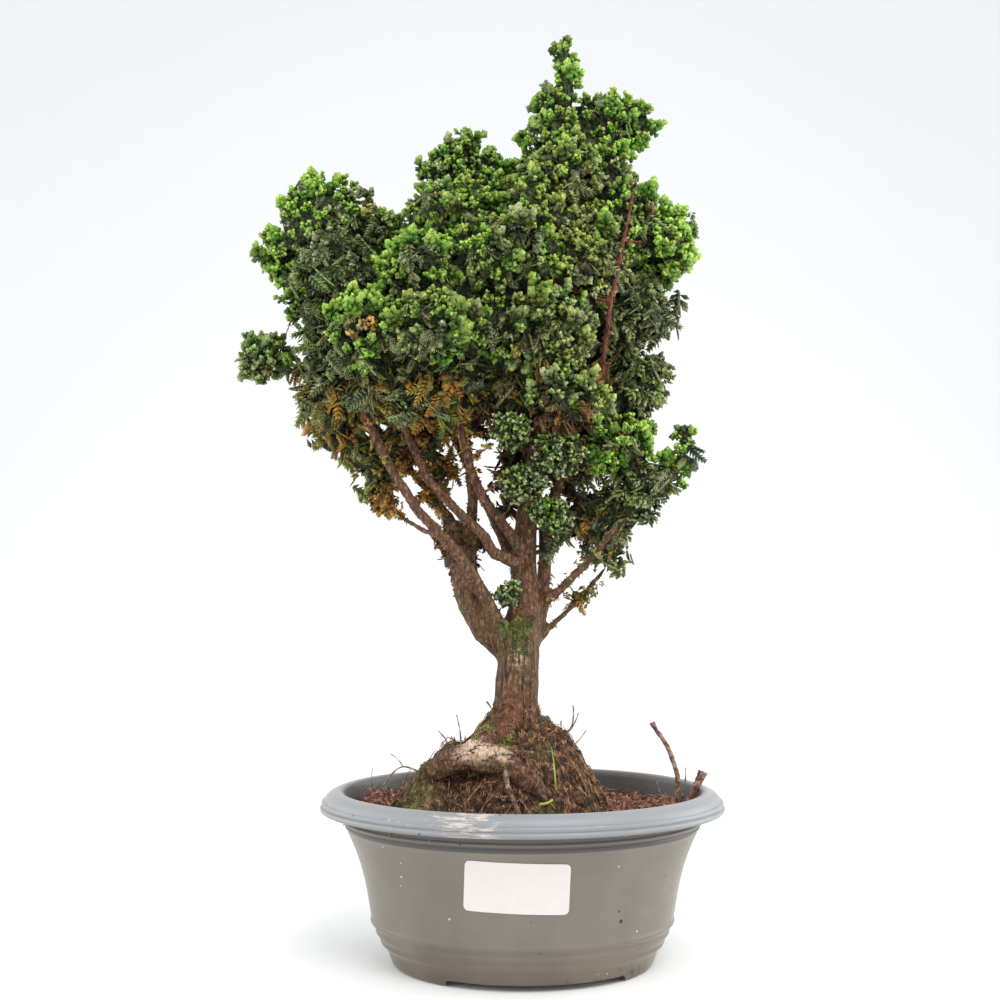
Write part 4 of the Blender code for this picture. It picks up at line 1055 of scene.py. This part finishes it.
# Slender parts that join the sprays: middle from the pot's, and radius, in millimetres
SLENDER = (
    ((19, -2, 426), 15.0), ((19.5, -2, 440), 12.0), ((20.5, -2, 453), 9.5), ((22, -2, 465), 6.0),
    ((24, -2, 476), 5.0), ((25, -2, 483), 3.0), ((-18, -8, 398), 12.0), ((-18, 0, 417), 8.0),
    ((-104, -6, 390), 10.0), ((38, 0, 424), 10.0), ((50, 2, 420), 8.0), ((-66, -30, 330), 16.0),
    ((-98, -14, 322), 14.0), ((-104, 2, 272), 5.0), ((-88, -2, 264), 8.0), ((46, -10, 330), 16.0),
    ((-20, -30, 328), 18.0), ((-30, -34, 362), 16.0), ((10, -30, 384), 16.0), ((52, -14, 380), 14.0),
    ((68, 0, 252), 8.0), ((79, 0, 252), 7.0), ((86, 0, 258), 5.0), ((55, 2, 219), 6.0),
    ((-40, 12, 257), 7.0), ((-48, 7, 238), 7.0), ((-8, 6, 233), 6.0), ((18, 2, 214), 5.0),
    ((-108, -4, 378), 8.0), ((-121, 0, 390), 6.0), ((-138, 4, 306), 6.0), ((-118, 0, 306), 6.0),
    ((-48, 0, 413), 6.0), ((-95, 0, 403), 6.0), ((-66, 4, 275), 8.0), ((-82, -43, 312), 11.0),
    ((-79, -35, 297), 9.0), ((-58, -24, 286), 8.0), ((-36, -34, 296), 9.0),
)


def look_of(name):
    """Which kind of shoots a spray bears."""
    short = name[len("spray_"):]
    return "bronze" if short in BRONZE else "olive" if short in OLIVE else "bright"


def basis(way, up, spin):
    """Turn that stands +Z along a direction with -Y as near as can be to up, spun round it."""
    z = way.normalized()
    y = -(up - z * up.dot(z))
    y = y.normalized() if y.length > 1e-4 else z.orthogonal().normalized()
    x = y.cross(z)
    return np.array((x, y, z)).T @ np.array(Matrix.Rotation(spin, 3, "Z"))


def stray(draw, amount):
    """A random sideways step."""
    return Vector((draw.gauss(0, amount), draw.gauss(0, amount), draw.gauss(0, amount)))


def tilted(way, tilt, turn):
    """A direction tilted away from another one, towards a turn round it."""
    side = way.orthogonal().normalized()
    side = Matrix.Rotation(turn, 3, way) @ side
    return (way * math.cos(tilt) + side * math.sin(tilt)).normalized()


def finger_tuft(spot, normal, tone, draw, bed, scale):
    """A dome of forked shoots that stands on a spot of the crown; a few are leaders that stand out."""
    leader = draw.random() < 0.07
    way = (normal + Vector((0, 0, 0.9 if leader else 0.42)) + stray(draw, 0.16)).normalized()
    foot = spot - normal * ((0.5 if leader else draw.uniform(1.2, 4.2)) * MM)
    fresh_and_painted_light, dry = tone[0] + draw.gauss(0, 0.09), max(0.0, tone[1] + draw.gauss(0, 0.07))
    first = draw.uniform(0.0, math.tau)
    for i in range(SHOOTS_IN_TUFT):
        tilt = draw.uniform(0.0, 0.25) if i == 0 else draw.uniform(0.50, 0.95) * (0.6 if leader else 1.0)
        out = tilted(way, tilt, first + i * math.tau / (SHOOTS_IN_TUFT - 1) + draw.gauss(0, 0.3))
        bed.append((draw.choice(STOUT_SHOOTS), basis(out, Vector((0, 0, 1)), draw.uniform(0, math.tau)),
                    foot + stray(draw, 0.0006), draw.uniform(0.82, 1.14) * scale,
                    fresh_and_painted_light + draw.gauss(0, 0.07), dry + abs(draw.gauss(0, 0.05))))


def frond_tuft(spot, normal, tone, draw, bed, scale):
    """Combed fronds and slim shoots that droop over one another, to both sides, from a spot of the crown."""
    fresh_and_painted_light, dry = tone[0] + draw.gauss(0, 0.08), max(0.0, tone[1] + draw.gauss(0, 0.10))
    across = normal.cross(Vector((0, 0, 1)))
    for i in range(SHOOTS_IN_TUFT - 1):
        kind = draw.choice(SLIM_SHOOTS if draw.random() < tone[2] else FRONDS)
        way = 0.42 * normal + Vector((0, 0, -0.48)) + across * draw.uniform(-0.85, 0.85)
        way = (way + stray(draw, 0.22)).normalized()
        size = draw.uniform(0.74, 1.12) * scale
        root = spot - normal * (draw.uniform(0.2, 2.6) * MM) - way * (FROND_LENGTH * size * 0.40 * MM)
        root += stray(draw, 0.0012)
        face = normal + Vector((0, 0, 0.5)) + stray(draw, 0.25)
        bed.append((kind, basis(way, face, draw.gauss(0, 0.3)), root, size,
                    fresh_and_painted_light + draw.gauss(0, 0.07), dry + abs(draw.gauss(0, 0.08))))


def spaced(spots, gap):
    """Spots thinned out until none is nearer to another than a gap, in metres."""
    cells, kept = {}, []
    for spot, normal in spots:
        key = tuple(int(math.floor(value / gap)) for value in spot)
        if any((spot - other).length < gap
               for dx in (-1, 0, 1) for dy in (-1, 0, 1) for dz in (-1, 0, 1)
               for other in cells.get((key[0] + dx, key[1] + dy, key[2] + dz), ())):
            continue
        cells.setdefault(key, []).append(spot)
        kept.append((spot, normal))
    return kept


def shrink(obj, depth):
    """Draw a closed mesh in by a depth in millimetres at each point, or less where it is thin."""
    mesh = obj.data
    tree = BVHTree.FromPolygons([vert.co for vert in mesh.vertices],
                                [poly.vertices for poly in mesh.polygons])
    moves = []
    for vert in mesh.vertices:
        wanted = depth(vert.co)
        _, _, _, through = tree.ray_cast(vert.co - vert.normal * (0.1 * MM), -vert.normal, 0.06)
        moves.append(vert.normal * (min(wanted * MM, 0.3 * (through or 0.0)) if wanted > 0 else wanted * MM))
    for vert, move in zip(mesh.vertices, moves):
        vert.co -= move
    mesh.update()


# The crown's surface: all the sprays grown together, with the clefts between them closed, and uneven
CROWN_VOXEL = 2.3
SCRAP = 1500.0  # volume in cubic millimetres
CLEFT = 4.0
HEAD_SEED = 1
HEAD_SIZE, HEAD_TALL, HEAD_RISE, CLEFT_DEPTH = 19.0, 1.25, 8.0, 4.5
# Upright gullies in the front of the crown, between its columns: across from the pot's middle, and the
# heights they run between, in millimetres
GULLIES = ((-46.0, 286.0, 340.0), (3.0, 290.0, 345.0), (47.0, 292.0, 385.0))
GULLY_WIDTH, GULLY_DEPTH = 4.5, 7.0
spray_nodes = {name: node for name, node in sorted(nodes.items()) if name.startswith("spray_")}
middles = {name: (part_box(name)[0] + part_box(name)[1]) / 2 for name in spray_nodes}
deselect()
grown = []
for name, node in spray_nodes.items():
    if name in KNOBS:
        continue
    part = bpy.data.objects.new("grown", node.data.copy())
    bpy.context.scene.collection.objects.link(part)
    low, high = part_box(name)
    half = sum(high - low) / 6 / MM
    wider = 1 + (CLEFT + TRIMMED.get(name[len("spray_"):], 0.0)) / half
    for vert in part.data.vertices:
        vert.co = middles[name] + (vert.co - middles[name]) * wider
    grown.append(part)
for (x, y, z), radius in SLENDER:
    bpy.ops.mesh.primitive_ico_sphere_add(
        subdivisions=2, radius=(radius + CLEFT) * MM, location=(pot_x + x * MM, y * MM, z * MM))
    bpy.ops.object.transform_apply(location=True)
    grown.append(bpy.context.active_object)
select_only(grown[0])
for part in grown:
    part.select_set(True)
bpy.ops.object.join()
crown = bpy.context.active_object
bpy.ops.object.mode_set(mode="EDIT")
bpy.ops.mesh.select_all(action="SELECT")
bpy.ops.mesh.remove_doubles(threshold=1e-6)
bpy.ops.object.mode_set(mode="OBJECT")
reshape(crown, "REMESH", mode="VOXEL", voxel_size=CROWN_VOXEL * MM)
reshape(crown, "SMOOTH", factor=0.6, iterations=8)


def clear_shells(obj):
    """Take away the shut-in shells inside a voxel mesh, whose faces look inwards, and its stray scraps."""
    form = bmesh.new()
    form.from_mesh(obj.data)
    unseen = set(form.verts)
    while unseen:
        island, front = set(), [unseen.pop()]
        while front:
            vert = front.pop()
            island.add(vert)
            near = {edge.other_vert(vert) for edge in vert.link_edges} & unseen
            unseen -= near
            front.extend(near)
        faces = {face for vert in island for face in vert.link_faces}
        volume = sum(face.calc_center_median().dot(face.normal) * face.calc_area() for face in faces) / 3
        if volume < SCRAP * MM ** 3:
            bmesh.ops.delete(form, geom=list(island), context="VERTS")
    form.to_mesh(obj.data)
    form.free()


clear_shells(crown)
# The noise vectors below are shifted by a draw that Blender seeds from the clock unless it is told otherwise
noise.seed_set(HEAD_SEED)


def head_at(spot):
    """The head of foliage that a point belongs to: how far it stands out there, and how far above
    the middle of the head the point is, both in millimetres."""
    bent = (spot + 5.0 * MM * noise.noise_vector(spot / (14.0 * MM))) / (HEAD_SIZE * MM)
    bent.z /= HEAD_TALL
    (nearest, second, *_), (middle, *_) = noise.voronoi(bent)
    above = (bent.z - middle.z) * HEAD_TALL * HEAD_SIZE
    dome = HEAD_RISE * (math.sqrt(max(0.0, 1.0 - (nearest / 0.9) ** 2)) - 0.7)
    cleft = CLEFT_DEPTH * math.exp(-((second - nearest) / 0.2) ** 2)
    across = (spot.x - pot_x) / MM + 5.0 * noise.noise(spot / (20.0 * MM))
    if spot.y < 0.0:
        cleft += sum(GULLY_DEPTH * near_to((across - x, GULLY_WIDTH))
                     for x, low, high in GULLIES if low < spot.z / MM < high)
    return dome - cleft + 0.1 * above + 1.6 * noise.noise(spot / (8.0 * MM)), above


shrink(crown, lambda spot: CLEFT - head_at(spot)[0])

# Living scale foliage: waxy, so a soft sheen; each shoot is palest at its growing tip and darker at its foot,
# the darker foot partly painted shade. Dead scales are bronze.
leaf, shader = new_material("hinoki_scale_foliage", 0.6)
shader.inputs["Specular IOR Level"].default_value = 0.3
tip = add(leaf, "Attribute", {"attribute_name": "tip"}).outputs["Fac"]
fresh_and_painted_light = add(leaf, "Attribute", {"attribute_name": "fresh_and_painted_light"}).outputs["Fac"]
dry = add(leaf, "Attribute", {"attribute_name": "dry"}).outputs["Fac"]
inner = ramp(leaf, fresh_and_painted_light, ((0.0, "#2A3B30"), (0.3, "#4C5A2E"), (0.6, "#2F5416"), (0.8, "#43721B"),
                           (1.0, "#608C2A")))
outer = ramp(leaf, fresh_and_painted_light, ((0.0, "#6C8C70"), (0.3, "#BDCA90"), (0.6, "#86B246"), (0.8, "#9BC64C"),
                           (1.0, "#B6D85C")))
# Paler towards each shoot's tip: new growth there, with painted shade towards the foot
risen = ranged(leaf, tip, 0.30, 1.0)
living = blend(leaf, risen, inner, outer)
dead_inner = ramp(leaf, fresh_and_painted_light, ((0.2, "#2E1B11"), (0.6, "#80551F"), (0.9, "#7E683A")))
dead_outer = ramp(leaf, fresh_and_painted_light, ((0.2, "#6A432B"), (0.6, "#DCA548"), (0.9, "#D2BC84")))
dead = blend(leaf, risen, dead_inner, dead_outer)
shown = blend(leaf, dry, living, dead)
place = add(leaf, "TexCoord").outputs["Object"]
patches = mottle(leaf, place, 130.0, 4.0, 0.6)
mottled = ranged(leaf, patches, 0.3, 0.7, 0.72, 1.22)
# Every shoot is beaded with overlapping scale leaves about 1.5 mm across, each painted lighter at its middle
# and darker where they tuck in: painted highlight and painted shade
beads = add(leaf, "TexVoronoi", None, Vector=place, Scale=640.0).outputs["Distance"]
painted_bead_light = ranged(leaf, beads, 0.15, 0.62, 1.55, 0.80)
mottled = calc(leaf, "MULTIPLY", mottled, painted_bead_light)
final = add(leaf, "VectorMath", {"operation": "SCALE"}, i0=shown)
join_up(leaf, mottled, final.inputs["Scale"])
join_up(leaf, final.outputs["Vector"], shader.inputs["Base Color"])
emboss(leaf, shader, beads, 0.5, -0.0007)

# Inside the crown: a core of brown twig wood and old scales, painted dark as shade, which closes the view
# through it
twigs_and_painted_shade, shader = new_material("inner_twigs_painted_shade", 0.9)
place = add(twigs_and_painted_shade, "TexCoord").outputs["Object"]
knit = mottle(twigs_and_painted_shade, place, 620.0, 5.0)
join_up(twigs_and_painted_shade, ramp(twigs_and_painted_shade, knit, ((0.38, "#0E150A"), (0.48, "#26331A"), (0.56, "#46502C"),
                                    (0.66, "#63502F"))),
        shader.inputs["Base Color"])
inside = bpy.data.objects.new("inside", crown.data.copy())
bpy.context.scene.collection.objects.link(inside)
shrink(inside, lambda spot: 4.6 + 2.2 * noise.noise(spot / (3.6 * MM)))
select_only(inside)
thinned = inside.modifiers.new("Fewer faces", "DECIMATE")
thinned.ratio = 0.15
bpy.ops.object.modifier_apply(modifier="Fewer faces")
bpy.ops.object.shade_smooth()
inner_parts = [inside]
for name in KNOBS:
    core = bpy.data.objects.new("core", nodes[name].data.copy())
    bpy.context.scene.collection.objects.link(core)
    shrink(core, lambda spot: 4.0)
    inner_parts.append(core)
select_only(inside)
for part in inner_parts:
    part.select_set(True)
bpy.ops.object.join()
settle(inside, "inner_twigs", twigs_and_painted_shade, "bark")


def owners(spots):
    """The name of the spray that each spot belongs to: the one whose surface is nearest."""
    trees = {name: BVHTree.FromPolygons([vert.co for vert in node.data.vertices],
                                        [poly.vertices for poly in node.data.polygons])
             for name, node in spray_nodes.items() if name not in KNOBS}
    found = []
    for spot, _ in spots:
        near = sorted(trees, key=lambda name: (middles[name] - spot).length)[:6]
        found.append(min(near, key=lambda name: trees[name].find_nearest(spot)[3]))
    return found


def planted(name, bed):
    """One mesh of all the shoots in a bed."""
    parts, marks = [], {"fresh_and_painted_light": [], "dry": [], "tip": []}
    for kind, (form, triangles, along) in enumerate(FORMS):
        chosen = [entry for entry in bed if entry[0] == kind]
        if not chosen:
            continue
        _, turns, spots, sizes, fresh_and_painted_light, dry = (np.array(column) for column in zip(*chosen))
        placed = np.einsum("nij,vj->nvi", turns, form) * sizes[:, None, None] * MM + spots[:, None]
        joined = triangles[None] + (np.arange(len(chosen)) * len(form))[:, None, None]
        parts.append((placed.reshape(-1, 3), joined.reshape(-1, 3)))
        marks["fresh_and_painted_light"].append(np.repeat(fresh_and_painted_light, len(form)))
        marks["dry"].append(np.repeat(dry, len(form)))
        marks["tip"].append(np.tile(along, len(chosen)))
    return bulk_mesh(name, *gather(parts), **{mark: np.concatenate(values) for mark, values in marks.items()})


crown_tree = BVHTree.FromPolygons([vert.co for vert in crown.data.vertices],
                                  [poly.vertices for poly in crown.data.polygons])
# A spot deep between two heads, or shut in behind another part of the crown, bears nothing: how far
# inside the heads' faces, and how near the other part, in millimetres
BARE_DEPTH, SHUT_IN = -12.0, 7.0
open_spots = [(spot, normal) for spot, normal in scatter(crown, 140000, lambda spot, normal: True, 31)
              if head_at(spot)[0] > BARE_DEPTH
              and crown_tree.ray_cast(spot + normal * (0.5 * MM), normal, SHUT_IN * MM)[0] is None]
tuft_spots = spaced([pair for pair in open_spots if pair[1].y < REAR_FACING], FRONT_GAP * MM)
tuft_spots += spaced([pair for pair in open_spots if pair[1].y >= REAR_FACING], REAR_GAP * MM)
beds = {name: [] for name in spray_nodes}
draw = random.Random("tufts")
# In metres: the pocket behind the knobs, of dying foliage painted darker as shade, across from the pot's
# middle and up, and the heights below which the crown's underside and its left fringe brown off, each with
# the height over which they do
POCKET_ACROSS, POCKET_UP = (-0.024, 0.034), (0.224, 0.284)
LOW_EDGE, LOW_REACH = 0.335, 0.04
FRINGE_EDGE, FRINGE_REACH = 0.306, 0.02
for name in KNOBS:
    tone = TONES[name[len("spray_"):]]
    ball_spots = scatter(nodes[name], 2500, lambda spot, normal: normal[1] < 0.6, 51)
    for spot, normal in spaced(ball_spots, KNOB_GAP * MM):
        # Upward-facing spots on a ball take a paler, yellower green: painted light
        lit = (tone[0] + 0.16 * normal.z, tone[1])
        finger_tuft(spot - normal * (1.0 * MM), normal, lit, draw, beds[name], KNOB_SCALE)
for (spot, normal), name in zip(tuft_spots, owners(tuft_spots)):
    look = look_of(name)
    fresh_and_painted_light, dry, *rest = TONES.get(name[len("spray_"):], LOOKS[look])
    stands, above = head_at(spot)
    # Behind the knobs, among the limbs, the foliage is dying off; its dark brown there is partly painted
    # shade
    side = spot.x - pot_x
    pocket = (POCKET_ACROSS[0] < side < POCKET_ACROSS[1]
              and POCKET_UP[0] < spot.z < POCKET_UP[1])
    shaded = name != "spray_spire_tip" and (pocket or stands < -5.5 or look != "bright"
                                            or above + 9.0 * normal.z < -9.5 + draw.gauss(0, 1.5))
    if shaded:
        # The undersides are olive, and brown off where the crown hangs low
        low = min(1.0, max(0.0, (LOW_EDGE - spot.z) / LOW_REACH))
        slim = rest[0] if rest else 0.4
        if look != "bronze":
            fresh_and_painted_light = min(fresh_and_painted_light, 0.42)
        dry += low * 0.6 * max(0.0, -0.2 - normal.z) * (spot.x < 0.075)
        fringe = min(1.0, max(0.0, (FRINGE_EDGE - spot.z) / FRINGE_REACH)) * (side < 0.0)
        dry += fringe * max(0.0, 0.2 + 1.8 * noise.noise(spot / (9.0 * MM)))
        if pocket:
            fresh_and_painted_light, dry = 0.25, dry + 0.5
        elif dry > 0.35:
            fresh_and_painted_light = 0.6
    if any(math.hypot(side / MM - x, spot.z / MM - z) < reach and normal.y < 0.2 for x, z, reach in DRIED):
        fresh_and_painted_light, dry = 0.9, 0.95
    # Upward-facing and outstanding spots take a paler, yellower green and deep ones a darker one: painted
    # light and painted shade; spots high on their heads are fresher
    fresh_and_painted_light += (0.008 if shaded else 0.018) * stands + 0.006 * above + 0.06 * normal.z
    scale = REAR_SCALE if normal.y >= REAR_FACING else FRONT_SCALE
    if shaded:
        frond_tuft(spot, normal, (fresh_and_painted_light, dry, slim), draw, beds[name], scale)
    else:
        finger_tuft(spot, normal, (fresh_and_painted_light, dry), draw, beds[name], scale)
bpy.data.objects.remove(crown)
for name in spray_nodes:
    short = name[len("spray_"):]
    foliage = planted("foliage_" + short, beds[name])
    settle(foliage, "foliage_" + short, leaf, "foliage_" + look_of(name), name)

# Dead and dying scale foliage on the wood itself: bronze where a limb enters the crown, dry and tan along
# the thin right limb, and a dark red-brown matted heap behind the left fork
KNOT_MIDDLE = (-33.0, 0.0, 217.0)
wood_tufts = {
    "limb_scales_bronze": (lambda x, y, z: 250 < z < 312, 7.0, 0.8, (0.62, 0.72, 0.4), "foliage_bronze"),
    "limb_scales_dry": (lambda x, y, z: x > 14 and 172 < z < 222, 3.6, 0.5, (0.86, 0.85, 0.9),
                        "foliage_bronze"),
    "dead_heap_scales": (lambda x, y, z: math.dist((x, y, z), KNOT_MIDDLE) < 17, 4.0, 0.6,
                         (0.12, 0.95, 0.5), "bark"),
}
for name, (grows, gap, scale, tone, slot) in wood_tufts.items():
    draw = random.Random(name)
    wood_spots = scatter(wood, 60000, lambda spot, normal: grows(spot[0] - pot_x / MM, spot[1], spot[2]), 41)
    spots = spaced(wood_spots, gap * MM)
    bed = []
    for spot, normal in spots:
        skin, outward, *_ = crown_tree.find_nearest(spot)
        if (spot - skin).dot(outward) > -2.0 * MM:
            frond_tuft(spot + normal * (1.5 * MM), normal, tone, draw, bed, scale)
    settle(planted(name, bed), name, leaf, slot)
